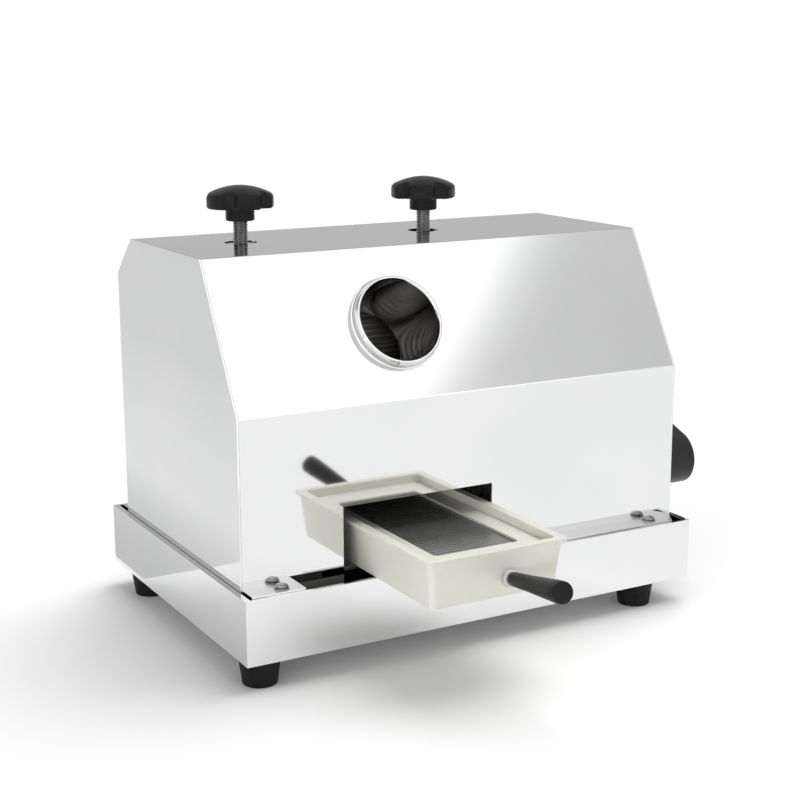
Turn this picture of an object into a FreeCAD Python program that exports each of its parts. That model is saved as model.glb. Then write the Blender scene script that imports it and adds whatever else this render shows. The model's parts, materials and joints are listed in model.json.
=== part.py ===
import FreeCAD, Part

import math
import os

import Sketcher

# A hand-cranked three-roller sugarcane juicer for a table top.
# Frame of the model: +Z up from the floor, +X towards the crank, +Y towards the back.
# Inside this file places are counted from the middle of the casing (x), from the outer face
# of its front panel (y) and from the floor (z). Every piece is then shifted by the same two
# amounts, so that the origin lies under the middle of the whole machine.

doc = FreeCAD.newDocument("SugarcaneJuicer")
sheet = doc.addObject("Spreadsheet::Sheet", "Sizes")
pieces = []


# ---------------------------------------------------------------- sizes and their expressions

class Size:
    """A number together with the sheet expression that it comes from."""

    def __init__(self, value, text):
        self.value = float(value)
        self.text = text

    def __add__(self, other):
        other = as_size(other)
        return Size(self.value + other.value, f"({self.text} + {other.text})")

    def __radd__(self, other):
        return as_size(other) + self

    def __sub__(self, other):
        other = as_size(other)
        return Size(self.value - other.value, f"({self.text} - {other.text})")

    def __rsub__(self, other):
        return as_size(other) - self

    def __mul__(self, other):
        other = as_size(other)
        return Size(self.value * other.value, f"({self.text} * {other.text})")

    def __rmul__(self, other):
        return as_size(other) * self

    def __truediv__(self, other):
        other = as_size(other)
        return Size(self.value / other.value, f"({self.text} / {other.text})")

    def __neg__(self):
        return self * -1


def as_size(number):
    if isinstance(number, Size):
        return number
    return Size(number, str(number))


def root(number):
    return Size(math.sqrt(number.value), f"sqrt({number.text})")


def lean(run, rise):
    """Angle from the vertical of a line that goes run across while it rises rise."""
    ratio = run / rise
    return Size(math.degrees(math.atan(ratio.value)), f"atan({ratio.text})")


def degrees(angle):
    return Size(angle.value, f"({angle.text} * 1 deg)")


def crown(reach, low, rise):
    """Corners of a shallow dome that rises from reach to the axis."""
    rings = [(reach * share, low + rise * (1 - share * share)) for share in (1, 0.75, 0.4)]
    return [*rings, (zero, low + rise)]


sheet_row = 0


def size(alias, value, note):
    """Writes one driving dimension into the sheet and gives it back for use below."""
    global sheet_row
    sheet_row += 1
    sheet.set(f"A{sheet_row}", note)
    sheet.set(f"B{sheet_row}", str(value))
    sheet.setAlias(f"B{sheet_row}", alias)
    return Size(value, f"Sizes.{alias}")


# general
sheet_steel = size("sheet_steel", 1.5, "thickness of the folded sheets")
gap = size("gap", 0.3, "clearance between pieces that move or stand apart")
play = size("play", 0.1, "radial running clearance of screws, spindles and bolts")
running = size("running", 0.05, "radial running clearance of shafts in bushes")

# feet and pan
foot_height = size("foot_height", 20, "rubber foot, floor to pan")
foot_top = size("foot_top", 32, "foot diameter at the pan")
foot_base = size("foot_base", 26.5, "foot diameter at the floor")
foot_left_in = size("foot_left_in", 17, "left feet, in from the pan's side")
foot_right_in = size("foot_right_in", 44, "right feet, in from the pan's side")
foot_front = size("foot_front", 3.5, "front feet, in front of the casing's front panel")
foot_rear_in = size("foot_rear_in", 17, "rear feet, in front of the casing's back")
foot_recess = size("foot_recess", 9, "depth of the screw's recess in the foot")
foot_screw = size("foot_screw", 6, "diameter of the foot's screw")
pan_width = size("pan_width", 408, "pan, side to side")
pan_height = size("pan_height", 50.4, "pan wall")
pan_ahead = size("pan_ahead", 20, "pan in front of the casing")
pan_behind = size("pan_behind", 24, "pan behind the casing")
side_lip = size("side_lip", 4.6, "return lip along the pan's sides")
end_lip = size("end_lip", 3, "return lip along the pan's front and back")

# casing
pan_beside = size("pan_beside", 5, "pan beside the casing")
front_height = size("front_height", 130, "upright front panel above the pan")
slope_run = size("slope_run", 61.5, "slope, front to back")
slope_rise = size("slope_rise", 109, "slope, height")
rear_run = size("rear_run", 34, "rear slope, front to back")
rear_drop = size("rear_drop", 31, "rear slope, height")
flange_reach = size("flange_reach", 16.4, "bent-out flange in front of and behind the casing")
flange_length = size("flange_length", 45, "length of the short flanges")
flange_right_inner = size("flange_right_inner", 58, "inner end of the front right flange")
flange_right_in = size("flange_right_in", 11, "right flanges, in from the casing's side")
cover_screw_in = size("cover_screw_in", 29, "flange screws, in from the casing's side")
cover_screw_out = size("cover_screw_out", 8, "flange screws, out from the panel")
cover_screw = size("cover_screw", 5, "diameter of the flange screws")
cutout_left_gap = size("cutout_left_gap", 10.4, "tray cut-out, left of the tray")
cutout_right_gap = size("cutout_right_gap", 1.9, "tray cut-out, right of the tray")
cutout_above = size("cutout_above", 15.1, "tray cut-out above the tray")
outlet_side = size("outlet_side", 1, "side clearance of the chute in its opening")
outlet_rise = size("outlet_rise", 87, "height of the chute's opening")
rod_slot = size("rod_slot", 24, "slots in the top for the pressure screws, side to side")
rod_slot_width = size("rod_slot_width", 14, "those slots, front to back")
rod_slot_corner = size("rod_slot_corner", 6.5, "corner radius of those slots")

# feed inlet
feed_x = size("feed_x", 52, "feed axis, left of the casing's middle")
feed_up = size("feed_up", 61, "feed axis, up the slope")
feed_bore = size("feed_bore", 66, "clear bore of the feed tube")
feed_wall = size("feed_wall", 2, "wall of the feed tube")
feed_ring = size("feed_ring", 76, "outer diameter of the feed ring")
feed_proud = size("feed_proud", 10, "feed ring above the slope")
feed_reach = size("feed_reach", 60, "feed tube inside the casing")
ring_edge = size("ring_edge", 3, "rolled edge of the feed ring")

# roller frame
frame_middle = size("frame_middle", 47, "middle of the rollers, left of the casing's middle")
plate_steel = size("plate_steel", 18, "side plate thickness")
plate_front = size("plate_front", 14, "side plate's front edge")
plate_rear_gap = size("plate_rear_gap", 15, "side plate's rear edge in front of the casing's back")
plate_slope_gap = size("plate_slope_gap", 17.3, "side plate behind the casing's slope, level")
plate_chamfer = size("plate_chamfer", 21, "rear chamfer of the side plate")
frame_bolt = size("frame_bolt", 8, "bolts from the pan into the side plates")
frame_bolt_in = size("frame_bolt_in", 30, "those bolts, in from the plate's ends")
tie_bar = size("tie_bar", 16, "diameter of the tie bars")
chute_bar = size("chute_bar", 12, "diameter of the bar under the chute")
tie_thread = size("tie_thread", 10, "stepped ends of the tie bars")
tie_low = size("tie_low", 40, "height of the lower tie bars")
tie_in = size("tie_in", 12, "lower tie bars, in from the plate's edges")
tie_top_in = size("tie_top_in", 14, "upper tie bar, in from the plate's rear edge")
tie_top_below = size("tie_top_below", 24, "upper tie bar, below the plate's top edge")

# rollers
roller_nip = size("roller_nip", 1, "gap between the rollers' ribs")
roller_length = size("roller_length", 140, "fluted length")
roller_side = size("roller_side", 5, "side plates beside the rollers")
roller_axis_y = size("roller_axis_y", 140, "top roller, behind the front panel")
roller_spread = size("roller_spread", 35, "lower rollers, each side of the top one")
roller_drop = size("roller_drop", 132.5, "lower rollers, below the casing's top")
rear_clear = size("rear_clear", 3.5, "rear roller to the bar under the chute")
journal = size("journal", 25, "journal diameter")
gear_seat = size("gear_seat", 22, "shaft diameter under the gears")
shoulder = size("shoulder", 30, "shoulder beside the roller")
bush_wall = size("bush_wall", 3.5, "wall of the bronze bushes")
bush_flange = size("bush_flange", 38, "flange of the bronze bushes")
bush_lip = size("bush_lip", 2.5, "thickness of that flange")
collar = size("collar", 36, "shaft collar diameter")
collar_length = size("collar_length", 10, "shaft collar length")
flute_count = 36
flute_depth = size("flute_depth", 1.6, "depth of the rollers' grooves")
flute_width = size("flute_width", 3.4, "width of the rollers' grooves")

# gears
gear_module = size("gear_module", 4, "module of all gears")
gear_face = size("gear_face", 20, "face width of the gears")
gear_offset = size("gear_offset", 8, "side plate to the roller gears")
wheel_offset = size("wheel_offset", 7.5, "roller gears to the drive wheel")
gear_backlash = size("gear_backlash", 0.3, "play between meshed teeth")
roller_backlash = size("roller_backlash", 1.3, "play of the roller gears, for the top one's lift")
roller_teeth = 15
wheel_teeth = 32
pressure_angle = 25
nut_length = size("nut_length", 6, "shaft nut")
nut_flats = size("nut_flats", 32, "shaft nut across its flats")
hex_head = size("hex_head", 13, "bolt heads across their flats")
hex_height = size("hex_height", 5.3, "bolt head height")
gear_plate_gap = size("gear_plate_gap", 10.5, "drive wheel to the outer gear plate")
gear_plate_steel = size("gear_plate_steel", 8, "outer gear plate thickness")
pillar = size("pillar", 18, "diameter of the gear plate's pillars")

# top roller carriage
window_width = size("window_width", 52, "window for the bearing block")
block_below = size("block_below", 26, "bearing block under the roller axis")
block_above = size("block_above", 28, "bearing block over the roller axis")
block_lip = size("block_lip", 2, "thickness of the block's inner lips")
block_lip_width = size("block_lip_width", 5, "reach of the block's lips beside the window")
keeper_steel = size("keeper_steel", 4, "keeper plate thickness")
keeper_margin = size("keeper_margin", 3, "block beside the keeper plate")
screw_foot = size("screw_foot", 16, "foot of the pressure screw, diameter")
screw_foot_length = size("screw_foot_length", 7, "foot of the pressure screw, height")
bridge_height = size("bridge_height", 18, "bridge bar, height")
bridge_width = size("bridge_width", 24, "bridge bar, width")
bridge_length = size("bridge_length", 96, "bridge bar, length")
bridge_bolt = size("bridge_bolt", 10, "bridge bolt diameter")
bridge_bolt_in = size("bridge_bolt_in", 12, "bridge bolts, in from the bar's ends")
lift_room = size("lift_room", 18.4, "room over the keeper plate for the blocks' lift")

# pressure screws and knobs
pressure_rod = size("pressure_rod", 12, "pressure screw diameter")
knob_gap = size("knob_gap", 17.5, "casing top to the knob's boss")
knob_width = size("knob_width", 54, "star knob over its lobes")
knob_boss = size("knob_boss", 23, "knob boss diameter")
knob_boss_height = size("knob_boss_height", 10, "knob boss height")
knob_skirt = size("knob_skirt", 12, "height of the knob's lobes")
knob_dome = size("knob_dome", 6, "crown of the knob")
knob_scallop = size("knob_scallop", 8, "radius of the hollows between the lobes")
knob_scallop_out = size("knob_scallop_out", 30, "those hollows, out from the axis")
left_knob_turned = size("left_knob_turned", 11.5, "left knob, turned to the left")
right_knob_turned = size("right_knob_turned", -15.4, "right knob, turned to the left")
knob_lobes = 5

# crank
crank_axis_y = size("crank_axis_y", 42, "crank axis, behind the front panel")
crank_shaft = size("crank_shaft", 20, "crankshaft diameter")
crank_collar = size("crank_collar", 28, "crankshaft shoulder diameter")
housing = size("housing", 42, "bearing housing diameter")
housing_flange = size("housing_flange", 66, "bearing housing flange diameter")
housing_proud = size("housing_proud", 3, "bearing housing outside the casing")
hub_gap = size("hub_gap", 5.6, "casing side to the crank hub")
hub = size("hub", 45.4, "crank hub diameter")
hub_length = size("hub_length", 36, "crank hub length")
arm_steel = size("arm_steel", 12, "crank arm thickness")
arm_length = size("arm_length", 190, "crank radius")
arm_end = size("arm_end", 15, "radius of the arm's far end")
arm_lift = size("arm_lift", 22.9, "arm above the level, towards the back")
arm_recess = size("arm_recess", 3, "depth of the arm's web recess")
arm_rim = size("arm_rim", 6, "rim around that recess")
crank_bolt = size("crank_bolt", 10, "bolt that holds the crank on its shaft")
spindle = size("spindle", 12, "grip spindle diameter")
spindle_collar = size("spindle_collar", 2, "grip spindle's collar, thickness")
spindle_head = size("spindle_head", 17, "grip spindle's head, diameter")
spindle_head_length = size("spindle_head_length", 5, "grip spindle's head, length")
grip_length = size("grip_length", 90, "crank grip")
grip_neck = size("grip_neck", 11.5, "grip radius at its neck")
grip_belly = size("grip_belly", 17, "grip radius at its belly")
grip_nose = size("grip_nose", 12, "grip radius at its nose")
grip_belly_at = size("grip_belly_at", 62, "belly of the grip, from its neck")

# tray
tray_left = size("tray_left", 103.6, "tray rim, left edge")
tray_right = size("tray_right", 16.6, "tray rim, right edge")
tray_ahead = size("tray_ahead", 108.6, "tray rim in front of the casing")
tray_behind = size("tray_behind", 200.6, "tray rim, rear edge")
tray_height = size("tray_height", 38, "tray, bottom to rim")
tray_draft = size("tray_draft", 4, "lean of the tray's walls, top to bottom")
tray_rim = size("tray_rim", 2.6, "overhang of the tray's rim")
tray_rim_height = size("tray_rim_height", 3.2, "thickness of the tray's rim")
tray_wall = size("tray_wall", 3, "tray wall")
tray_step = size("tray_step", 2.5, "ledge under the filter frame")
tray_corner = size("tray_corner", 4.5, "tray corner radius")
frame_deep = size("frame_deep", 7, "filter frame below the tray's rim")
frame_thick = size("frame_thick", 3, "filter frame thickness")
frame_border = size("frame_border", 16, "border of the filter frame at its sides")
frame_border_end = size("frame_border_end", 23, "border of the filter frame at its ends")
filter_corner = size("filter_corner", 4, "corner radius of the filter's opening")
filter_steel = size("filter_steel", 0.8, "filter screen thickness")
filter_rebate = size("filter_rebate", 3, "screen's edge under the filter frame")
filter_slot = size("filter_slot", 1.2, "slot in the filter screen")
filter_slots = 26
runner_leg = size("runner_leg", 18, "upright leg of the tray runners")
runner_shelf = size("runner_shelf", 5, "tray runner under the tray's edge")
runner_steel = size("runner_steel", 3, "tray runner thickness")
handle_x = size("handle_x", 33.3, "tray handle on the tray's front, left of the middle")
handle_z = size("handle_z", 15, "tray handle above the pan")
handle_side = size("handle_side", 8.4, "tray handle, turned to the left")
handle_up = size("handle_up", 10.3, "tray handle, turned upwards")
ferrule = size("ferrule", 13, "ferrule diameter")
ferrule_length = size("ferrule_length", 9, "ferrule length")
handle_root = size("handle_root", 12, "handle diameter at the ferrule")
handle_end = size("handle_end", 16, "handle diameter at its end")
handle_length = size("handle_length", 83, "black grip of the tray's handle")
handle_round = size("handle_round", 1.5, "rounded edge of the grip's end")

# turner plate and chute
turner_width = size("turner_width", 18, "turner plate, front to back")
turner_low = size("turner_low", 27, "turner plate below the lower roller axes")
turner_high = size("turner_high", 24, "turner plate above the lower roller axes")
turner_clear = size("turner_clear", 1.5, "turner plate to the rollers")
turner_bolt_z = size("turner_bolt_z", 4.5, "turner plate's bolts above its lower edge")
turner_bolt = size("turner_bolt", 6, "turner plate's bolt diameter")
chute_gap = size("chute_gap", 3, "rear roller to the chute")
chute_up = size("chute_up", 11.1, "chute's front edge above the lower roller axes")
chute_out = size("chute_out", 21, "chute's rear edge behind the casing")
chute_drop = size("chute_drop", 24, "fall of the chute")
chute_wall = size("chute_wall", 28, "side walls of the chute")

zero = Size(0, "0")
half = Size(0.5, "0.5")

# places that several pieces share
pan_floor = foot_height + sheet_steel
pan_top = foot_height + pan_height
pan_front = -pan_ahead
casing_width = pan_width - pan_beside * 2
casing_half = casing_width / 2
slope_foot = pan_top + front_height
casing_top = slope_foot + slope_rise
rear_foot = casing_top - rear_drop
slope_length = root(slope_run * slope_run + slope_rise * slope_rise)
slope_lean = lean(slope_run, slope_rise)
feed_y = feed_up * slope_run / slope_length
feed_z = slope_foot + feed_up * slope_rise / slope_length
roller_gear_radius = gear_module * roller_teeth / 2
roller_radius = roller_gear_radius - roller_nip / 2
wheel_radius = gear_module * wheel_teeth / 2
lower_axis_z = casing_top - roller_drop
roller_rise = root(4 * roller_gear_radius * roller_gear_radius - roller_spread * roller_spread)
top_axis_z = lower_axis_z + roller_rise
front_axis_y = roller_axis_y - roller_spread
rear_axis_y = roller_axis_y + roller_spread
chute_bar_y = rear_axis_y + roller_radius + rear_clear + chute_bar / 2
plate_rear = chute_bar_y + tie_in
casing_depth = plate_rear + plate_rear_gap
pan_rear = casing_depth + pan_behind
block_top = top_axis_z + block_above
plate_top = block_top + keeper_steel + lift_room
plate_slope_top = (plate_top - slope_foot) * slope_run / slope_rise + plate_slope_gap
plate_slope_foot = slope_foot - (plate_slope_gap - plate_front) * slope_rise / slope_run
plate_rear_top = plate_rear - plate_chamfer
plate_rear_foot = plate_top - plate_chamfer
tie_top_y = plate_rear - tie_top_in
tie_top_z = plate_top - tie_top_below
frame_gap = roller_length + roller_side * 2
left_inner = -frame_middle - frame_gap / 2
left_outer = left_inner - plate_steel
right_inner = -frame_middle + frame_gap / 2
right_outer = right_inner + plate_steel
left_rod = left_inner - plate_steel / 2
right_rod = right_inner + plate_steel / 2
roller_gears_x = right_outer + gear_offset
wheel_x = roller_gears_x + gear_face + wheel_offset
gear_plate_x = wheel_x + gear_face + gear_plate_gap
drive_centres = wheel_radius + roller_gear_radius
crank_back = front_axis_y - crank_axis_y
crank_axis_z = lower_axis_z - root(drive_centres * drive_centres - crank_back * crank_back)
window_floor = top_axis_z - block_below - gap
journal_bore = journal / 2 + running
bush_radius = journal / 2 + bush_wall
gear_plate_outer = gear_plate_x + gear_plate_steel
housing_end = casing_half + housing_proud
hub_start = casing_half + hub_gap
hub_end = hub_start + hub_length
grip_start = hub_end + spindle_collar + gap
crank_reach = grip_start + grip_length
tray_bottom = pan_top + gap
tray_top = tray_bottom + tray_height
cutout_left = tray_left + cutout_left_gap
cutout_right = tray_right + cutout_right_gap
cutout_top = tray_top + cutout_above
chute_start = rear_axis_y + roller_radius + chute_gap
chute_start_z = lower_axis_z + chute_up
chute_end = casing_depth + chute_out
foot_left = pan_width / 2 - foot_left_in
foot_right = pan_width / 2 - foot_right_in
foot_rear = casing_depth - foot_rear_in
flange_inner = casing_half - flange_length
flange_right_outer = casing_half - flange_right_in
cover_screw_x = casing_half - cover_screw_in
handle_reach = tray_ahead - tray_rim + handle_length + ferrule_length * 0.62

# the machine's middle, from the pan's left side to the crank's grip and from the tray's
# handle to the pan's rear wall
middle_x = (crank_reach - pan_width / 2) / 2
middle_y = (pan_rear - handle_reach) / 2


# ---------------------------------------------------------------- ways of making pieces

def new_body(label):
    body = doc.addObject("PartDesign::Body", label)
    body.Label = label
    return body


def new_sketch(body, plane, offset=zero):
    """A sketch on one of the body's own planes, moved along that plane's normal."""
    feature = next(f for f in body.Origin.OriginFeatures if f.Role == plane)
    sketch = body.newObject("Sketcher::SketchObject", "Sketch")
    sketch.AttachmentSupport = [(feature, "")]
    sketch.MapMode = "FlatFace"
    sketch.setExpression("AttachmentOffset.Base.z", offset.text)
    return sketch


def pin_point(sketch, geometry, point, across, up):
    """Fixes one point of a sketch by its two distances from the sketch's origin."""
    for kind, length in (("DistanceX", across), ("DistanceY", up)):
        number = sketch.addConstraint(
            Sketcher.Constraint(kind, -1, 1, geometry, point, length.value))
        sketch.setExpression(f"Constraints[{number}]", length.text)


def arc_edge(start, end, radius):
    """An arc between two points: a positive radius has its centre to the left of the way."""
    chord = end - start
    middle = (start + end) * half.value
    reach = math.sqrt(radius ** 2 - (chord.Length / 2) ** 2)
    side = math.copysign(reach, radius) / chord.Length
    centre = middle + FreeCAD.Vector(-chord.y, chord.x, 0) * side
    circle = Part.Circle(centre, FreeCAD.Vector(0, 0, 1), abs(radius))
    first, last = (start, end) if radius > 0 else (end, start)
    angles = [math.atan2(p.y - centre.y, p.x - centre.x) for p in (first, last)]
    return Part.ArcOfCircle(circle, angles[0], angles[1])


def draw_outline(sketch, corners):
    """A closed outline. A corner (across, up) starts a line, (across, up, radius) an arc."""
    base = sketch.GeometryCount
    corners = [tuple(as_size(number) for number in corner) for corner in corners]
    count = len(corners)
    ends = []
    for number, corner in enumerate(corners):
        after = corners[(number + 1) % count]
        start = FreeCAD.Vector(corner[0].value, corner[1].value, 0)
        end = FreeCAD.Vector(after[0].value, after[1].value, 0)
        if len(corner) == 2:
            sketch.addGeometry(Part.LineSegment(start, end), False)
            ends.append((1, 2))
            continue
        sketch.addGeometry(arc_edge(start, end, corner[2].value), False)
        ends.append((1, 2) if corner[2].value > 0 else (2, 1))
    for number, corner in enumerate(corners):
        after = (number + 1) % count
        sketch.addConstraint(Sketcher.Constraint(
            "Coincident", base + number, ends[number][1], base + after, ends[after][0]))
        pin_point(sketch, base + number, ends[number][0], corner[0], corner[1])
        if len(corner) == 3:
            bulge = corner[2] if corner[2].value > 0 else -corner[2]
            radius = sketch.addConstraint(
                Sketcher.Constraint("Radius", base + number, bulge.value))
            sketch.setExpression(f"Constraints[{radius}]", bulge.text)


def draw_circle(sketch, across, up, radius):
    across, up, radius = as_size(across), as_size(up), as_size(radius)
    centre = FreeCAD.Vector(across.value, up.value, 0)
    number = sketch.addGeometry(
        Part.Circle(centre, FreeCAD.Vector(0, 0, 1), radius.value), False)
    pin_point(sketch, number, 3, across, up)
    constraint = sketch.addConstraint(Sketcher.Constraint("Radius", number, radius.value))
    sketch.setExpression(f"Constraints[{constraint}]", radius.text)


def box_corners(low_x, high_x, low_y, high_y):
    return [(low_x, low_y), (high_x, low_y), (high_x, high_y), (low_x, high_y)]


def round_corners(low_x, high_x, low_y, high_y, radius):
    """A rectangle with rounded corners, anticlockwise."""
    return [
        (low_x + radius, low_y), (high_x - radius, low_y, radius),
        (high_x, low_y + radius), (high_x, high_y - radius, radius),
        (high_x - radius, high_y), (low_x + radius, high_y, radius),
        (low_x, high_y - radius), (low_x, low_y + radius, radius),
    ]


def hexagon(across, up, flats):
    """Six corners about a point, two of them level with it."""
    radius = flats / root(Size(3, "3"))
    corners = []
    for x, y in ((1, 0), (0.5, 0.5), (-0.5, 0.5), (-1, 0), (-0.5, -0.5), (0.5, -0.5)):
        step_up = flats * (1 if y > 0 else -1) / 2 if y else zero
        corners.append((across + radius * x, up + step_up))
    return corners


def pad(body, sketch, length, both_ways=False, backwards=False):
    feature = body.newObject("PartDesign::Pad", "Pad")
    feature.Profile = sketch
    feature.setExpression("Length", as_size(length).text)
    feature.SideType = "Symmetric" if both_ways else "One side"
    feature.Reversed = backwards
    return feature


def pocket(body, sketch, depth=None, backwards=False):
    """Cuts against the sketch's normal by a depth, or both ways through everything."""
    feature = body.newObject("PartDesign::Pocket", "Pocket")
    feature.Profile = sketch
    if depth is None:
        feature.Type = "ThroughAll"
        feature.SideType = "Symmetric"
    else:
        feature.setExpression("Length", as_size(depth).text)
        feature.Reversed = backwards
    return feature


def turn(body, corners, plane="XY_Plane", axis="H_Axis"):
    """A turned piece: its half profile revolved about the sketch's own axis."""
    sketch = new_sketch(body, plane)
    draw_outline(sketch, corners)
    feature = body.newObject("PartDesign::Revolution", "Revolution")
    feature.Profile = sketch
    feature.ReferenceAxis = (sketch, [axis])
    feature.Angle = 360
    return feature


def steps(*stations):
    """Half profile of a turned piece from (from, to, radius) stations that follow on."""
    corners = [(stations[0][0], zero)]
    for low, high, radius in stations:
        corners += [(low, radius), (high, radius)]
    corners.append((stations[-1][1], zero))
    return corners[::-1]


def ring_corners(low, high, inner, outer):
    return [(low, inner), (high, inner), (high, outer), (low, outer)]


def repeat_round(body, feature, plane_axis, count):
    axis = next(f for f in body.Origin.OriginFeatures if f.Role == plane_axis)
    pattern = body.newObject("PartDesign::PolarPattern", "PolarPattern")
    pattern.Originals = [feature]
    pattern.Axis = (axis, [""])
    pattern.Angle = 360
    pattern.Occurrences = count
    body.Tip = pattern
    return pattern


def repeat_along(body, feature, plane_axis, step, count):
    axis = next(f for f in body.Origin.OriginFeatures if f.Role == plane_axis)
    pattern = body.newObject("PartDesign::LinearPattern", "LinearPattern")
    pattern.Originals = [feature]
    pattern.Direction = (axis, [""])
    pattern.Mode = "Spacing"
    pattern.setExpression("Offset", step.text)
    pattern.Occurrences = count
    body.Tip = pattern
    return pattern


def place(piece, x=zero, y=zero, z=zero, axis=None, angle=None):
    """Puts a piece at its place in the machine, counted from the casing's middle and front."""
    if axis is not None:
        piece.Placement.Rotation = FreeCAD.Rotation(FreeCAD.Vector(*axis), angle.value)
        piece.setExpression("Placement.Rotation.Angle", angle.text)
    piece.setExpression("Placement.Base.x", (x - middle_x).text)
    piece.setExpression("Placement.Base.y", (y - middle_y).text)
    piece.setExpression("Placement.Base.z", z.text)
    return piece


def keep(piece):
    """Marks a finished piece as a sub-part of the machine."""
    pieces.append(piece)
    return piece


def gather(label, members):
    """Identical loose pieces that share one node."""
    group = doc.addObject("Part::Compound", label)
    group.Label = label
    group.Links = members
    return keep(group)


def hex_bolt(label, diameter, length, flats=hex_head, height=hex_height):
    """A bolt along +X: its head starts at the origin and its shank goes the other way."""
    body = new_body(label)
    head = new_sketch(body, "YZ_Plane")
    draw_outline(head, hexagon(zero, zero, flats))
    pad(body, head, height)
    shank = new_sketch(body, "YZ_Plane")
    draw_circle(shank, zero, zero, diameter / 2)
    pad(body, shank, length, backwards=True)
    return body


X_AXIS = (1, 0, 0)
Y_AXIS = (0, 1, 0)
Z_AXIS = (0, 0, 1)
quarter_turn = Size(90, "90 deg")
half_turn = Size(180, "180 deg")


# ---------------------------------------------------------------- feet and pan

def make_foot(label, x, y):
    """A tapered rubber foot with a recess for its screw."""
    body = new_body(label)
    top = foot_top / 2
    base = foot_base / 2
    bore = foot_screw / 2 + play
    turn(body, [
        (bore, foot_recess), (foot_screw + play, foot_recess), (foot_screw + play, zero),
        (base, zero), (top, foot_height), (bore, foot_height),
    ], "XZ_Plane", "V_Axis")
    return place(body, x, y)


def make_foot_screw(label, x, y):
    """The foot's screw and its nut in the pan, as one turned shape with a hexagon nut."""
    body = new_body(label)
    radius = foot_screw / 2
    head_height = foot_recess / 2
    nut_top = pan_floor + foot_screw
    turn(body, [
        (zero, foot_recess - head_height), (foot_screw - gap, foot_recess - head_height),
        (foot_screw - gap, foot_recess), (radius, foot_recess),
        (radius, nut_top), (zero, nut_top),
    ], "XZ_Plane", "V_Axis")
    nut = new_sketch(body, "XY_Plane", pan_floor)
    draw_outline(nut, hexagon(zero, zero, foot_screw * 5 / 3))
    pad(body, nut, foot_screw * 3 / 4)
    return place(body, x, y)


foot_spots = {
    "front_left": (-foot_left, -foot_front),
    "front_right": (foot_right, -foot_front),
    "rear_left": (-foot_left, foot_rear),
    "rear_right": (foot_right, foot_rear),
}
gather("rubber_feet", [make_foot(f"foot_{n}", *s) for n, s in foot_spots.items()])
gather("foot_screws", [make_foot_screw(f"foot_screw_{n}", *s) for n, s in foot_spots.items()])

frame_bolt_spots = [
    (x, y) for x in (left_rod, right_rod)
    for y in (plate_front + frame_bolt_in, plate_rear - frame_bolt_in)
]


def make_pan():
    """An open box of sheet with return lips round its top edge."""
    body = new_body("base_pan")
    half_width = pan_width / 2
    outer = new_sketch(body, "XY_Plane", foot_height)
    draw_outline(outer, box_corners(-half_width, half_width, pan_front, pan_rear))
    block = pad(body, outer, pan_height)
    doc.recompute()
    top = [f"Face{n}" for n, face in enumerate(block.Shape.Faces, 1)
           if face.normalAt(0, 0).z > half.value]
    shell = body.newObject("PartDesign::Thickness", "Thickness")
    shell.Base = (block, top)
    shell.setExpression("Value", sheet_steel.text)
    shell.Join = "Intersection"
    shell.Reversed = True
    lips = new_sketch(body, "XY_Plane", pan_top)
    draw_outline(lips, box_corners(-half_width, half_width, pan_front, pan_rear))
    draw_outline(lips, box_corners(-half_width + side_lip, half_width - side_lip,
                                   pan_front + end_lip, pan_rear - end_lip))
    pad(body, lips, sheet_steel, backwards=True)
    holes = new_sketch(body, "XY_Plane", pan_floor)
    for x, y in foot_spots.values():
        draw_circle(holes, x, y, foot_screw / 2 + play)
    for x, y in frame_bolt_spots:
        draw_circle(holes, x, y, frame_bolt / 2 + play)
    pocket(body, holes, sheet_steel)
    keep(place(body))


make_pan()


# ---------------------------------------------------------------- casing

casing_profile = [
    (zero, pan_floor), (casing_depth, pan_floor), (casing_depth, rear_foot),
    (casing_depth - rear_run, casing_top), (slope_run, casing_top), (zero, slope_foot),
]
flange_spans = {
    "front": [(-casing_half + sheet_steel, -flange_inner),
              (flange_right_inner, flange_right_outer)],
    "rear": [(-casing_half + sheet_steel, -flange_inner), (flange_inner, flange_right_outer)],
}
cover_screw_spots = [
    (x, y) for x in (-cover_screw_x, cover_screw_x)
    for y in (-cover_screw_out, casing_depth + cover_screw_out)
]
chute_half = roller_length / 2
outlet_left = -frame_middle - chute_half - outlet_side
outlet_right = -frame_middle + chute_half + outlet_side
chute_fall = chute_drop / (chute_end - chute_start)
chute_floor_at_back = chute_start_z - chute_fall * (casing_depth - chute_start)
chute_thickness = sheet_steel * root(1 + chute_fall * chute_fall)
outlet_bottom = chute_floor_at_back - chute_thickness


def drill_flanges(body, y, flange_steps):
    """Bent-out flanges at the pan's height, with a hole for each screw."""
    flanges = new_sketch(body, "XY_Plane", pan_top)
    low_y, high_y = flange_steps
    for low, high in flange_spans["front" if y.value < 0 else "rear"]:
        draw_outline(flanges, box_corners(low, high, low_y, high_y))
    pad(body, flanges, sheet_steel)
    screw_holes = new_sketch(body, "XY_Plane", pan_top)
    for x in (-cover_screw_x, cover_screw_x):
        draw_circle(screw_holes, x, y, cover_screw / 2 + play)
    pocket(body, screw_holes, sheet_steel, backwards=True)


def make_cover_front():
    """The upright front sheet: it reaches the pan's floor between its flanges."""
    body = new_body("cover_front")
    panel = new_sketch(body, "XZ_Plane")
    end_x = casing_half - sheet_steel
    draw_outline(panel, [
        (-end_x, pan_top), (-flange_inner, pan_top), (-flange_inner, pan_floor),
        (-cutout_left, pan_floor), (-cutout_left, cutout_top), (cutout_right, cutout_top),
        (cutout_right, pan_floor), (flange_right_inner, pan_floor),
        (flange_right_inner, pan_top), (end_x, pan_top), (end_x, slope_foot),
        (-end_x, slope_foot),
    ])
    pad(body, panel, sheet_steel, backwards=True)
    drill_flanges(body, -cover_screw_out, (-flange_reach, sheet_steel))
    keep(place(body))


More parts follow.
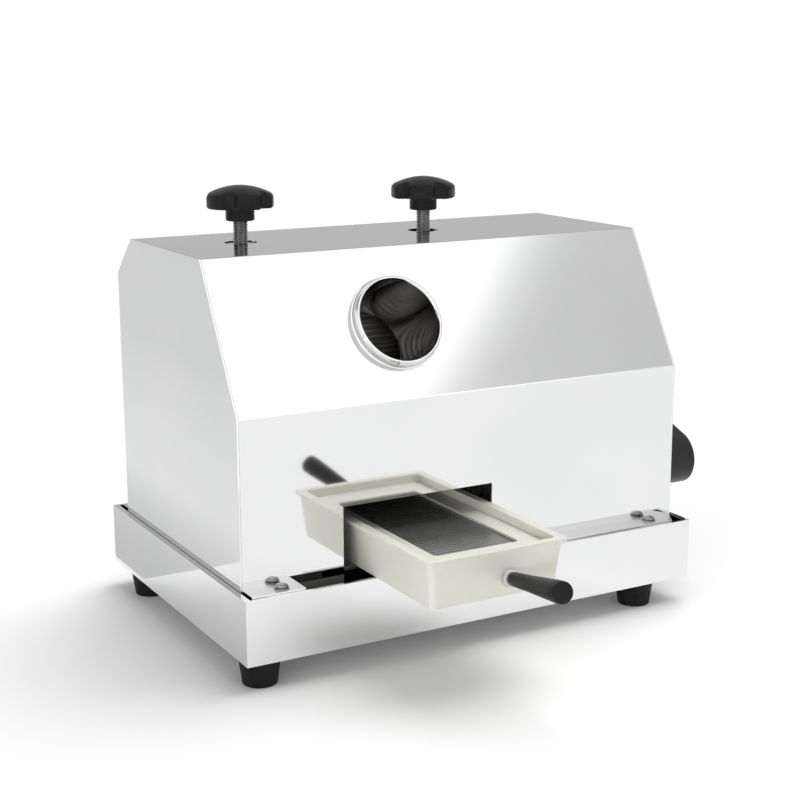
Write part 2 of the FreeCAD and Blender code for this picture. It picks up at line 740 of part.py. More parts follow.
def make_cover_back():
    """The upright back sheet with the chute's opening."""
    body = new_body("cover_back")
    panel = new_sketch(body, "XZ_Plane", -casing_depth)
    end_x = casing_half - sheet_steel
    draw_outline(panel, [
        (-end_x, pan_top), (-flange_inner, pan_top), (-flange_inner, pan_floor),
        (flange_inner, pan_floor), (flange_inner, pan_top), (end_x, pan_top),
        (end_x, rear_foot), (-end_x, rear_foot),
    ])
    draw_outline(panel, box_corners(
        outlet_left, outlet_right, outlet_bottom, outlet_bottom + outlet_rise))
    pad(body, panel, sheet_steel)
    drill_flanges(body, casing_depth + cover_screw_out,
                  (casing_depth - sheet_steel, casing_depth + flange_reach))
    keep(place(body))


def make_cover_hood():
    """Slope, top and rear slope in one folded sheet on the front and back sheets."""
    body = new_body("cover_hood")
    inside = casing_top - sheet_steel
    slope_wall = sheet_steel * slope_length / slope_rise
    rear_wall = sheet_steel * root(rear_run * rear_run + rear_drop * rear_drop) / rear_drop
    profile = new_sketch(body, "YZ_Plane")
    draw_outline(profile, [
        *casing_profile[:1:-1],
        (casing_depth - rear_wall, rear_foot),
        (casing_depth - rear_wall - (inside - rear_foot) * rear_run / rear_drop, inside),
        (slope_wall + (inside - slope_foot) * slope_run / slope_rise, inside),
        (slope_wall, slope_foot),
    ])
    pad(body, profile, casing_width - 2 * sheet_steel, both_ways=True)

    rod_slots = new_sketch(body, "XY_Plane", casing_top)
    for x in (left_rod, right_rod):
        draw_outline(rod_slots, round_corners(
            x - rod_slot / 2, x + rod_slot / 2, roller_axis_y - rod_slot_width / 2,
            roller_axis_y + rod_slot_width / 2, rod_slot_corner))
    pocket(body, rod_slots, sheet_steel)

    # a round hole square to the slope for the feed tube
    feed_hole = new_sketch(body, "XZ_Plane")
    feed_hole.AttachmentOffset = FreeCAD.Placement(
        FreeCAD.Vector(0, 0, 0), FreeCAD.Rotation(FreeCAD.Vector(*X_AXIS), -slope_lean.value))
    feed_hole.setExpression("AttachmentOffset.Rotation.Angle", (-slope_lean).text)
    feed_hole.setExpression("AttachmentOffset.Base.x", (-feed_x).text)
    feed_hole.setExpression("AttachmentOffset.Base.y", feed_z.text)
    feed_hole.setExpression("AttachmentOffset.Base.z", (-feed_y).text)
    draw_circle(feed_hole, zero, zero, feed_bore / 2 + feed_wall + play)
    pocket(body, feed_hole, 2 * sheet_steel)
    keep(place(body))


def make_cover_side(label, low_x, holes=()):
    """A flat side panel on the end of the folded sheet."""
    body = new_body(label)
    profile = new_sketch(body, "YZ_Plane", low_x)
    draw_outline(profile, casing_profile)
    for y, z, radius in holes:
        draw_circle(profile, y, z, radius)
    pad(body, profile, sheet_steel)
    keep(place(body))


def make_flange_bracket(label, x, wall, reach, outwards):
    """A bracket inside the pan that carries one flange: outwards is -1 in front, 1 behind."""
    body = new_body(label)
    width = frame_bolt_in
    edge = wall - outwards * end_lip
    inner = wall - outwards * sheet_steel
    leg = inner - outwards * (sheet_steel + gap) * 2
    tip = wall - outwards * reach
    below = pan_top - sheet_steel
    corners = [
        (inner, below), (inner, below - width), (leg, below - width), (leg, below),
        (tip, below), (tip, pan_top), (edge, pan_top), (edge, below),
    ]
    profile = new_sketch(body, "YZ_Plane")
    draw_outline(profile, corners)
    pad(body, profile, width, both_ways=True)
    hole = new_sketch(body, "XY_Plane", pan_top)
    hole_y = -cover_screw_out if outwards < 0 else casing_depth + cover_screw_out
    draw_circle(hole, zero, hole_y, cover_screw / 2 + play)
    pocket(body, hole, sheet_steel)
    return place(body, x)


def make_cover_screw(label, x, y):
    """A domed pan-head screw that stands on its flange."""
    body = new_body(label)
    head = cover_screw
    edge = cover_screw * 0.3
    rise = cover_screw * 0.4
    turn(body, [
        (zero, -cover_screw * 2), (cover_screw / 2, -cover_screw * 2), (cover_screw / 2, zero),
        (head, zero), *crown(head, edge, rise),
    ], "XZ_Plane", "V_Axis")
    return place(body, x, y, pan_top + sheet_steel)


make_cover_front()
make_cover_hood()
make_cover_back()
make_cover_side("cover_side_left", -casing_half)
make_cover_side("cover_side_right", casing_half - sheet_steel,
                [(crank_axis_y, crank_axis_z, housing / 2 + gap)])
gather("flange_brackets", [
    make_flange_bracket(f"flange_bracket_{name}_{side}", x, wall, reach, outwards)
    for name, wall, reach, outwards in (
        ("front", pan_front, pan_ahead - sheet_steel, -1),
        ("rear", pan_rear, pan_behind - sheet_steel, 1))
    for side, x in (("left", -cover_screw_x), ("right", cover_screw_x))
])
gather("cover_screws", [make_cover_screw(f"cover_screw_{number}", *spot)
                        for number, spot in enumerate(cover_screw_spots)])


def make_feed_tube():
    """The feed tube with its outer ring, turned about the feed axis."""
    body = new_body("feed_tube")
    bore = feed_bore / 2
    turn(body, [
        (bore, -feed_reach), (bore + feed_wall, -feed_reach), (bore + feed_wall, zero),
        (feed_ring / 2, zero), (feed_ring / 2, feed_proud - ring_edge),
        (feed_ring / 2 - ring_edge, feed_proud), (bore + feed_wall / 2, feed_proud),
        (bore, feed_proud - feed_wall),
    ], "XZ_Plane", "V_Axis")
    keep(place(body, -feed_x, feed_y, feed_z, X_AXIS, quarter_turn - slope_lean))


make_feed_tube()


# ---------------------------------------------------------------- roller frame

lower_axes = [(front_axis_y, lower_axis_z), (rear_axis_y, lower_axis_z)]
tie_spots = [
    (plate_front + tie_in, tie_low, tie_bar),
    (plate_rear - tie_in, tie_low, tie_bar),
    (tie_top_y, tie_top_z, tie_bar),
]
chute_bar_z = (chute_start_z - chute_fall * (chute_bar_y - chute_start) - chute_thickness
               - chute_bar / 2 * root(1 + chute_fall * chute_fall))
tie_spots.append((chute_bar_y, chute_bar_z, chute_bar))
pillar_spots = [
    (plate_front + tie_in, tie_low), (plate_rear - tie_in * 3, tie_low + tie_in * 2),
    (tie_top_y, tie_top_z - tie_in * 2), (plate_slope_top, plate_top - tie_in),
]
bridge_bolt_spots = [
    roller_axis_y - bridge_length / 2 + bridge_bolt_in,
    roller_axis_y + bridge_length / 2 - bridge_bolt_in,
]
plate_profile = [
    (plate_front, pan_floor), (plate_rear, pan_floor), (plate_rear, plate_rear_foot),
    (plate_rear_top, plate_top), (plate_slope_top, plate_top), (plate_front, plate_slope_foot),
]
turner_low_z = lower_axis_z - turner_low
turner_hole = (roller_axis_y, turner_low_z + turner_bolt_z, turner_bolt / 2 + play)


def make_side_plate(label, low_x, extra_holes=()):
    """A thick side plate with bores for the lower rollers and a window for the upper one."""
    body = new_body(label)
    profile = new_sketch(body, "YZ_Plane", low_x)
    window = window_width / 2
    draw_outline(profile, [
        plate_profile[0], plate_profile[1], plate_profile[2], plate_profile[3],
        (roller_axis_y + window, plate_top), (roller_axis_y + window, window_floor),
        (roller_axis_y - window, window_floor), (roller_axis_y - window, plate_top),
        plate_profile[4], plate_profile[5],
    ])
    for y, z in lower_axes:
        draw_circle(profile, y, z, bush_radius)
    for y, z, _ in tie_spots:
        draw_circle(profile, y, z, tie_thread / 2 + play)
    for y, z, radius in (turner_hole, *extra_holes):
        draw_circle(profile, y, z, radius)
    pad(body, profile, plate_steel)
    top_holes = new_sketch(body, "XY_Plane", plate_top)
    for y in bridge_bolt_spots:
        draw_circle(top_holes, low_x + plate_steel / 2, y, bridge_bolt / 2 + play)
    pocket(body, top_holes, bridge_height)
    foot_holes = new_sketch(body, "XY_Plane", pan_floor)
    for y in (plate_front + frame_bolt_in, plate_rear - frame_bolt_in):
        draw_circle(foot_holes, low_x + plate_steel / 2, y, frame_bolt / 2 + play)
    pocket(body, foot_holes, frame_bolt * 2, backwards=True)
    keep(place(body))


crank_bush_radius = crank_shaft / 2 + bush_wall
make_side_plate("left_side_plate", left_outer)
make_side_plate("right_side_plate", right_inner,
                [(crank_axis_y, crank_axis_z, crank_bush_radius)])


def make_gear_plate():
    """The outer plate that carries the crankshaft, on four pillars."""
    body = new_body("gear_plate")
    profile = new_sketch(body, "YZ_Plane", gear_plate_x)
    draw_outline(profile, [
        (plate_front, pan_floor), (plate_rear, pan_floor), (plate_rear, plate_rear_foot),
        (plate_rear_top, plate_top), (plate_slope_top, plate_top),
        (plate_front, plate_slope_foot),
    ])
    for y, z in pillar_spots:
        draw_circle(profile, y, z, tie_thread / 2 + play)
    draw_circle(profile, crank_axis_y, crank_axis_z, crank_bush_radius)
    pad(body, profile, gear_plate_steel)
    keep(place(body))


def make_pillar(label, y, z):
    """A spacer between the right side plate and the gear plate, with a stepped end."""
    body = new_body(label)
    turn(body, steps((right_outer, gear_plate_x, pillar / 2),
                     (gear_plate_x, gear_plate_outer, tie_thread / 2)))
    return place(body, zero, y, z)


def make_tie_bar(label, y, z, diameter):
    """A bar between the side plates whose stepped ends pass through them."""
    body = new_body(label)
    thread = tie_thread / 2
    turn(body, steps((left_outer, left_inner, thread), (left_inner, right_inner, diameter / 2),
                     (right_inner, right_outer, thread)))
    return place(body, zero, y, z)


def make_nut(label, x, y, z):
    """A cap nut on the face of a plate: a hexagon on a washer, closed by the bar's end."""
    body = new_body(label)
    washer = new_sketch(body, "YZ_Plane")
    draw_circle(washer, zero, zero, tie_thread)
    pad(body, washer, sheet_steel)
    nut = new_sketch(body, "YZ_Plane", sheet_steel)
    draw_outline(nut, hexagon(zero, zero, tie_thread * 1.7))
    pad(body, nut, tie_thread * 0.6)
    return place(body, x, y, z)


make_gear_plate()
gather("gear_plate_pillars", [make_pillar(f"gear_plate_pillar_{number}", *spot)
                              for number, spot in enumerate(pillar_spots)])
gather("tie_bars", [make_tie_bar(f"tie_bar_{number}", *spot)
                    for number, spot in enumerate(tie_spots)])


def make_tie_nut(label, y, z):
    nut = make_nut(label, left_outer, y, z)
    nut.Placement.Rotation = FreeCAD.Rotation(FreeCAD.Vector(*Y_AXIS), half_turn.value)
    return nut


gather("frame_nuts", [
    *(make_nut(f"pillar_nut_{number}", gear_plate_outer, *spot)
      for number, spot in enumerate(pillar_spots)),
    *(make_tie_nut(f"tie_nut_left_{number}", y, z)
      for number, (y, z, _) in enumerate(tie_spots)),
    *(make_nut(f"tie_nut_right_{number}", right_outer, y, z)
      for number, (y, z, _) in enumerate(tie_spots[1:])),
])


def make_frame_bolt(label, x, y):
    bolt = hex_bolt(label, frame_bolt, sheet_steel + frame_bolt * 3 / 2)
    return place(bolt, x, y, foot_height, Y_AXIS, quarter_turn)


gather("frame_bolts", [make_frame_bolt(f"frame_bolt_{number}", *spot)
                       for number, spot in enumerate(frame_bolt_spots)])


def make_bush(label, y, z, plate_face, outer_face, inwards, radius=bush_radius,
              bore=journal_bore, flange=bush_flange / 2):
    """A flanged bronze bush in a plate: inwards is the side on which the flange lies."""
    body = new_body(label)
    lip = plate_face + inwards * bush_lip
    turn(body, [
        (outer_face, bore), (lip, bore), (lip, flange), (plate_face, flange),
        (plate_face, radius), (outer_face, radius),
    ])
    return place(body, zero, y, z)


gather("roller_bushes", [
    make_bush(f"roller_bush_{side}_{number}", y, z, face, outer, inwards)
    for side, face, outer, inwards in (("left", left_inner, left_outer, 1),
                                       ("right", right_inner, right_outer, -1))
    for number, (y, z) in enumerate(lower_axes)
])


def make_turner_plate():
    """The plate that leads the crushed cane from the first nip to the second."""
    body = new_body("turner_plate")
    profile = new_sketch(body, "YZ_Plane")
    draw_outline(profile, box_corners(
        roller_axis_y - turner_width / 2, roller_axis_y + turner_width / 2,
        turner_low_z, lower_axis_z + turner_high))
    pad(body, profile, frame_gap, both_ways=True)
    hollows = new_sketch(body, "YZ_Plane")
    for y, z in (*lower_axes, (roller_axis_y, top_axis_z)):
        draw_circle(hollows, y, z, roller_radius + turner_clear)
    pocket(body, hollows)
    for start, backwards in ((-frame_gap / 2, True), (frame_gap / 2, False)):
        tapped = new_sketch(body, "YZ_Plane", start)
        draw_circle(tapped, turner_hole[0], turner_hole[1], turner_hole[2])
        pocket(body, tapped, turner_bolt * 2, backwards)
    keep(place(body, -frame_middle))


def make_turner_bolt(label, x, angle):
    bolt = hex_bolt(label, turner_bolt, plate_steel + turner_bolt * 3 / 2)
    return place(bolt, x, turner_hole[0], turner_hole[1], Y_AXIS, angle)


make_turner_plate()
gather("turner_bolts", [
    make_turner_bolt("turner_bolt_left", left_outer, half_turn),
    make_turner_bolt("turner_bolt_right", right_outer, Size(0, "0 deg")),
])


def make_chute():
    """The chute for the crushed cane, through the back of the casing."""
    body = new_body("bagasse_chute")
    end_z = chute_start_z - chute_drop
    floor = new_sketch(body, "YZ_Plane")
    draw_outline(floor, [
        (chute_start, chute_start_z - chute_thickness), (chute_end, end_z - chute_thickness),
        (chute_end, end_z), (chute_start, chute_start_z),
    ])
    pad(body, floor, roller_length, both_ways=True)
    for start, backwards in ((-chute_half, False), (chute_half, True)):
        side = new_sketch(body, "YZ_Plane", start)
        draw_outline(side, [
            (chute_start, chute_start_z - chute_thickness), (chute_end, end_z - chute_thickness),
            (chute_end, end_z + chute_wall / 2), (casing_depth, chute_start_z + chute_wall / 2),
            (chute_start, chute_start_z + chute_wall),
        ])
        pad(body, side, sheet_steel, backwards=backwards)
    keep(place(body, -frame_middle))


make_chute()


def make_runner(label, wall, inwards, tray_edge):
    """An angle on the side plate under one edge of the tray."""
    body = new_body(label)
    tip = tray_edge + inwards * runner_shelf
    leg = wall + inwards * runner_steel
    profile = new_sketch(body, "XZ_Plane")
    draw_outline(profile, [
        (wall, pan_top - runner_leg), (leg, pan_top - runner_leg),
        (leg, pan_top - runner_steel), (tip, pan_top - runner_steel),
        (tip, pan_top), (wall, pan_top),
    ])
    pad(body, profile, plate_rear - plate_front - tie_in, backwards=True)
    return place(body, zero, plate_front)


tray_base_left = -tray_left + tray_rim + tray_draft
tray_base_right = tray_right - tray_rim - tray_draft
gather("tray_runners", [
    make_runner("tray_runner_left", left_inner, 1, tray_base_left),
    make_runner("tray_runner_right", right_inner, -1, tray_base_right),
])


# ---------------------------------------------------------------- top roller carriage

def make_bearing_block(label, plate_face, outer_face, inwards):
    """A block that slides in the side plate's window, with lips behind the plate."""
    body = new_body(label)
    half_width = window_width / 2 - gap
    low = -block_below
    core = new_sketch(body, "YZ_Plane", outer_face)
    draw_outline(core, box_corners(-half_width, half_width, low, block_above))
    pad(body, core, plate_steel + gap, backwards=inwards < 0)
    lips = new_sketch(body, "YZ_Plane", plate_face + inwards * gap)
    lip = half_width + block_lip_width
    draw_outline(lips, box_corners(-lip, lip, low, block_above))
    pad(body, lips, block_lip, backwards=inwards < 0)
    bore = new_sketch(body, "YZ_Plane")
    draw_circle(bore, zero, zero, bush_radius)
    pocket(body, bore)
    seat = new_sketch(body, "XY_Plane", block_above)
    draw_circle(seat, (plate_face + outer_face) / 2, zero, screw_foot / 2 + gap)
    pocket(body, seat, screw_foot_length + gap * 2)
    keep(place(body, zero, roller_axis_y, top_axis_z))


def make_keeper(label, x):
    """The plate that keeps the screw's foot in its block."""
    body = new_body(label)
    outline = new_sketch(body, "XY_Plane")
    reach = window_width / 2 - gap - keeper_margin
    draw_outline(outline, box_corners(-plate_steel / 2, plate_steel / 2, -reach, reach))
    draw_circle(outline, zero, zero, pressure_rod / 2 + gap)
    pad(body, outline, keeper_steel)
    return place(body, x, roller_axis_y, block_top)


def make_block_bush(label, low_x, high_x):
    body = new_body(label)
    turn(body, ring_corners(low_x, high_x, journal_bore, bush_radius))
    return place(body, zero, roller_axis_y, top_axis_z)


def make_bridge(label, x):
    """The bar over the window, tapped for the pressure screw."""
    body = new_body(label)
    outline = new_sketch(body, "XY_Plane")
    reach = bridge_length / 2
    draw_outline(outline, box_corners(-bridge_width / 2, bridge_width / 2, -reach, reach))
    draw_circle(outline, zero, zero, pressure_rod / 2 + play)
    for y in bridge_bolt_spots:
        draw_circle(outline, zero, y - roller_axis_y, bridge_bolt / 2 + play)
    pad(body, outline, bridge_height)
    return place(body, x, roller_axis_y, plate_top)


def make_bridge_bolt(label, x, y):
    bolt = hex_bolt(label, bridge_bolt, bridge_height + bridge_bolt, hex_head + 4)
    return place(bolt, x, y, plate_top + bridge_height, Y_AXIS, Size(-90, "-90 deg"))


block_inner_left = left_inner + gap + block_lip
block_inner_right = right_inner - gap - block_lip
make_bearing_block("left_bearing_block", left_inner, left_outer, 1)
make_bearing_block("right_bearing_block", right_inner, right_outer, -1)
gather("block_bushes", [
    make_block_bush("block_bush_left", left_outer, block_inner_left),
    make_block_bush("block_bush_right", block_inner_right, right_outer),
])
gather("keeper_plates", [make_keeper("keeper_plate_left", left_rod),
                         make_keeper("keeper_plate_right", right_rod)])
gather("bridges", [make_bridge("bridge_left", left_rod),
                   make_bridge("bridge_right", right_rod)])
gather("bridge_bolts", [
    make_bridge_bolt(f"bridge_bolt_{number}", x, y)
    for number, (x, y) in enumerate((x, y) for x in (left_rod, right_rod)
                                    for y in bridge_bolt_spots)
])


# ---------------------------------------------------------------- rollers and gears

def make_roller(label, y, z, left_face, right_face, shaft_end):
    """A fluted roller turned in one piece with its shaft, along X."""
    body = new_body(label)
    drum_left = -frame_middle - roller_length / 2
    drum_right = -frame_middle + roller_length / 2
    shaft = journal / 2
    seat = gear_seat / 2
    start = left_outer - gap - collar_length
    turn(body, steps(
        (start, left_face, shaft), (left_face, drum_left, shoulder / 2),
        (drum_left, drum_right, roller_radius), (drum_right, right_face, shoulder / 2),
        (right_face, roller_gears_x, shaft), (roller_gears_x, shaft_end, seat)))
    groove = new_sketch(body, "YZ_Plane", drum_left - gap)
    deep = roller_radius - flute_depth
    wide = flute_width / 2
    above = roller_radius + flute_depth
    draw_outline(groove, [(deep, zero), (above, -wide * 2), (above, wide * 2)])
    cut = pocket(body, groove, roller_length + 2 * gap, backwards=True)
    repeat_round(body, cut, "X_Axis", flute_count)
    keep(place(body, zero, y, z))


def involute_point(base_radius, radius, turned):
    """Where the involute of a base circle meets a radius, turned about the axis."""
    roll = math.sqrt(max((radius / base_radius) ** 2 - 1, 0))
    angle = turned + roll - math.atan(roll)
    return FreeCAD.Vector(0, radius * math.cos(angle), radius * math.sin(angle))


def gear_wire(teeth, backlash):
    """The toothed outline of a spur gear in the YZ plane, one tooth on the +Y axis."""
    pitch = gear_module.value * teeth / 2
    tip = pitch + gear_module.value * 0.95
    foot = pitch - gear_module.value * 1.25
    base = pitch * math.cos(math.radians(pressure_angle))
    roll = math.tan(math.radians(pressure_angle))
    pitch_polar = roll - math.radians(pressure_angle)
    tooth_half = math.pi / (2 * teeth) - backlash.value / (4 * pitch)
    flank_start = -tooth_half - pitch_polar
    flank_steps = 4
    radii = [max(base, foot) + (tip - max(base, foot)) * n / flank_steps
             for n in range(flank_steps + 1)]
    points = []
    for tooth in range(teeth):
        turned = 2 * math.pi * tooth / teeth
        rising = [involute_point(base, radius, flank_start) for radius in radii]
        if foot < base:
            rising.insert(0, rising[0] * (foot / base))
        falling = [FreeCAD.Vector(0, p.y, -p.z) for p in reversed(rising)]
        for point in rising + falling:
            points.append(FreeCAD.Vector(
                0, point.y * math.cos(turned) - point.z * math.sin(turned),
                point.y * math.sin(turned) + point.z * math.cos(turned)))
    return Part.makePolygon(points + points[:1])


def make_gear(label, teeth, x, y, z, turned, bore, backlash, hub_radius=None, hub_reach=None):
    """A spur gear from x on, with a bore and, where it has one, a hub beyond its face."""
    gear = doc.addObject("Part::Feature", label)
    gear.Label = label
    along = FreeCAD.Vector(gear_face.value, 0, 0)
    solid = Part.Face(gear_wire(teeth, backlash)).extrude(along)
    length = gear_face.value
    if hub_reach is not None:
        solid = solid.fuse(Part.makeCylinder(
            hub_radius.value, hub_reach.value, along, FreeCAD.Vector(*X_AXIS)))
        length += hub_reach.value
    hole = Part.makeCylinder(bore.value, length, FreeCAD.Vector(0, 0, 0),
                             FreeCAD.Vector(*X_AXIS))
    gear.Shape = solid.cut(hole).removeSplitter()
    gear.Placement = FreeCAD.Placement(
        FreeCAD.Vector((x - middle_x).value, (y - middle_y).value, z.value),
        FreeCAD.Rotation(FreeCAD.Vector(*X_AXIS), math.degrees(turned)))
    return keep(gear)


def direction(start, end):
    """Angle in the YZ plane from one axis to another."""
    return math.atan2((end[1] - start[1]).value, (end[0] - start[0]).value)


def meshed(turned, teeth, other_teeth, towards):
    """How far the second of two meshed gears is turned, so that tooth meets gap."""
    return (towards + math.pi - (turned - towards) * teeth / other_teeth
            + math.pi / other_teeth)


front_axis = (front_axis_y, lower_axis_z)
rear_axis = (rear_axis_y, lower_axis_z)
top_axis = (roller_axis_y, top_axis_z)
crank_axis = (crank_axis_y, crank_axis_z)
top_turned = direction(top_axis, front_axis)
front_turned = meshed(top_turned, roller_teeth, roller_teeth, direction(top_axis, front_axis))
rear_turned = meshed(top_turned, roller_teeth, roller_teeth, direction(top_axis, rear_axis))
wheel_turned = direction(front_axis, crank_axis)
pinion_turned = meshed(wheel_turned, wheel_teeth, roller_teeth, wheel_turned)

bush_face_left = left_inner + bush_lip + gap
bush_face_right = right_inner - bush_lip - gap
roller_nut_x = roller_gears_x + gear_face
wheel_nut_x = wheel_x + gear_face
make_roller("front_roller", *front_axis, bush_face_left, bush_face_right,
            wheel_nut_x + nut_length)
make_roller("rear_roller", *rear_axis, bush_face_left, bush_face_right,
            roller_nut_x + nut_length)
make_roller("top_roller", *top_axis, block_inner_left + gap, block_inner_right - gap,
            roller_nut_x + nut_length)
seat_bore = gear_seat / 2
make_gear("front_gear", roller_teeth, roller_gears_x, *front_axis, front_turned, seat_bore,
          roller_backlash, shoulder / 2, wheel_offset)
make_gear("rear_gear", roller_teeth, roller_gears_x, *rear_axis, rear_turned, seat_bore,
          roller_backlash)
make_gear("top_gear", roller_teeth, roller_gears_x, *top_axis, top_turned, seat_bore,
          roller_backlash)
make_gear("drive_wheel", wheel_teeth, wheel_x, *front_axis, wheel_turned, seat_bore,
          gear_backlash)


def make_shaft_nut(label, x, y, z):
    body = new_body(label)
    outline = new_sketch(body, "YZ_Plane")
    draw_outline(outline, hexagon(zero, zero, nut_flats))
    draw_circle(outline, zero, zero, gear_seat / 2)
    pad(body, outline, nut_length)
    keep(place(body, x, y, z))


def make_collar(label, y, z):
    """The collar that keeps the shaft from sliding out of its left bush."""
    body = new_body(label)
    turn(body, ring_corners(zero, collar_length, journal / 2, collar / 2))
    set_screw = new_sketch(body, "XY_Plane")
    draw_circle(set_screw, collar_length / 2, zero, turner_bolt / 2)
    pocket(body, set_screw, collar / 2, backwards=True)
    keep(place(body, left_outer - gap - collar_length, y, z))


make_shaft_nut("front_shaft_nut", wheel_nut_x, *front_axis)
make_shaft_nut("rear_shaft_nut", roller_nut_x, *rear_axis)
make_shaft_nut("top_shaft_nut", roller_nut_x, *top_axis)
make_collar("front_shaft_collar", *front_axis)
make_collar("rear_shaft_collar", *rear_axis)
make_collar("top_shaft_collar", *top_axis)


# ---------------------------------------------------------------- crank

def make_crankshaft():
    body = new_body("crankshaft")
    shaft = crank_shaft / 2
    end = hub_end - arm_steel / 3
    turn(body, steps((right_inner, right_outer + gap, shaft),
                     (right_outer + gap, wheel_x, crank_collar / 2), (wheel_x, end, shaft)))
    tapped = new_sketch(body, "YZ_Plane", end)
    draw_circle(tapped, zero, zero, crank_bolt / 2)
    pocket(body, tapped, crank_bolt * 2)
    keep(place(body, zero, *crank_axis))


def make_housing():
    """The flanged housing that carries the crankshaft out to the casing's side."""
    body = new_body("crank_bearing_housing")
    bore = crank_bush_radius
    turn(body, [
        (gear_plate_outer, bore), (housing_end, bore), (housing_end, housing / 2),
        (gear_plate_outer + gear_plate_steel, housing / 2),
        (gear_plate_outer + gear_plate_steel, housing_flange / 2),
        (gear_plate_outer, housing_flange / 2),
    ])
    keep(place(body, zero, *crank_axis))


def make_crank_bush(label, low_x, high_x):
    body = new_body(label)
    turn(body, ring_corners(low_x, high_x, crank_shaft / 2 + running, crank_bush_radius))
    return place(body, zero, *crank_axis)


def make_crank_arm():
    """Hub and tapered arm in one casting, with a web recess in its outer face."""
    body = new_body("crank_arm")
    hub_radius = hub / 2
    boss = new_sketch(body, "YZ_Plane", hub_start)
    draw_circle(boss, zero, zero, hub_radius)
    pad(body, boss, hub_length)
    slant = (hub_radius - arm_end) / arm_length
    upright = root(1 - slant * slant)
    arm = new_sketch(body, "YZ_Plane", hub_end)
    tip_y = arm_length + arm_end * slant
    draw_outline(arm, [
        (hub_radius * slant, -hub_radius * upright),
        (tip_y, -arm_end * upright, arm_end),
        (arm_length + arm_end, zero, arm_end), (tip_y, arm_end * upright),
        (hub_radius * slant, hub_radius * upright),
    ])
    pad(body, arm, arm_steel, backwards=True)
    web = new_sketch(body, "YZ_Plane", hub_end)
    near = hub_radius + arm_rim
    far = arm_length - arm_end - arm_rim
    near_wide = hub_radius - slant * near - arm_rim
    far_wide = hub_radius - slant * far - arm_rim
    draw_outline(web, [(near, -near_wide), (far, -far_wide), (far, far_wide),
                       (near, near_wide)])
    pocket(body, web, arm_recess)
    bores = new_sketch(body, "YZ_Plane", hub_start)
    draw_circle(bores, zero, zero, crank_shaft / 2)
    pocket(body, bores, hub_length - arm_steel / 3, backwards=True)
    through = new_sketch(body, "YZ_Plane", hub_end)
    draw_circle(through, zero, zero, crank_bolt / 2)
    draw_circle(through, arm_length, zero, spindle / 2)
    pocket(body, through, arm_steel)
    keep(place(body, zero, *crank_axis, X_AXIS, degrees(arm_lift)))


def make_crank_bolt():
    """The bolt and washer on the end of the crankshaft."""
    body = new_body("crank_bolt")
    washer = new_sketch(body, "YZ_Plane")
    draw_circle(washer, zero, zero, crank_bolt)
    pad(body, washer, sheet_steel)
    head = new_sketch(body, "YZ_Plane", sheet_steel)
    draw_outline(head, hexagon(zero, zero, crank_bolt * 1.7))
    pad(body, head, crank_bolt * 0.6)
    shank = new_sketch(body, "YZ_Plane")
    draw_circle(shank, zero, zero, crank_bolt / 2)
    pad(body, shank, arm_steel / 3 + crank_bolt * 3 / 2, backwards=True)
    keep(place(body, hub_end, *crank_axis))


arm_angle = degrees(arm_lift)
arm_cos = Size(math.cos(math.radians(arm_lift.value)), f"cos({arm_angle.text})")
arm_sin = Size(math.sin(math.radians(arm_lift.value)), f"sin({arm_angle.text})")
grip_axis = (crank_axis_y + arm_length * arm_cos, crank_axis_z + arm_length * arm_sin)


def make_spindle():
    """The fixed spindle in the arm's end, with a head that keeps the grip on."""
    body = new_body("grip_spindle")
    pin = spindle / 2
    head_start = grip_start + grip_length - spindle_head_length
    turn(body, steps(
        (hub_end - arm_steel, hub_end, pin), (hub_end, hub_end + spindle_collar, pin * 3 / 2),
        (hub_end + spindle_collar, head_start, pin),
        (head_start, grip_start + grip_length, spindle_head / 2)))
    keep(place(body, zero, *grip_axis))


def make_grip():
    """The revolving bulb grip with a recess for the spindle's head."""
    body = new_body("crank_grip")
    bore = spindle / 2 + play
    recess = grip_length - spindle_head_length - gap
    grip_shoulder = (grip_length * 2 + grip_belly_at) / 3
    turn(body, [
        (zero, bore), (recess, bore), (recess, spindle_head / 2 + gap),
        (grip_length, spindle_head / 2 + gap), (grip_length, grip_nose),
        (grip_shoulder, (grip_belly * 3 + grip_nose) / 4), (grip_belly_at, grip_belly),
        (grip_belly_at / 3, (grip_belly + grip_neck * 2) / 3),
        (zero, grip_neck),
    ])
    keep(place(body, grip_start, *grip_axis))


make_crankshaft()
make_housing()
gather("crank_bushes", [
    make_crank_bush("crank_bush_inner", right_inner, right_outer),
    make_crank_bush("crank_bush_middle", gear_plate_x,
                    gear_plate_outer + gear_plate_steel),
    make_crank_bush("crank_bush_outer", housing_end - gear_face, housing_end),
])
make_gear("crank_pinion", roller_teeth, wheel_x, *crank_axis, pinion_turned,
          crank_shaft / 2, gear_backlash, crank_collar / 2, gear_plate_x - gap - wheel_nut_x)
make_crank_arm()
make_crank_bolt()
make_spindle()
make_grip()


# ---------------------------------------------------------------- pressure screws and knobs

knob_base = casing_top + knob_gap
knob_under = knob_base + knob_boss_height
knob_top = knob_under + knob_skirt
screw_foot_top = block_top - gap


def make_pressure_screw(label, x):
    """The pressure screw: a rod with a round foot that turns in the bearing block."""
    body = new_body(label)
    rod = pressure_rod / 2
    turn(body, [
        (zero, screw_foot_top - screw_foot_length),
        (screw_foot / 2, screw_foot_top - screw_foot_length),
        (screw_foot / 2, screw_foot_top), (rod, screw_foot_top), (rod, knob_under + knob_skirt / 2),
        (zero, knob_under + knob_skirt / 2),
    ], "XZ_Plane", "V_Axis")
    keep(place(body, x, roller_axis_y))


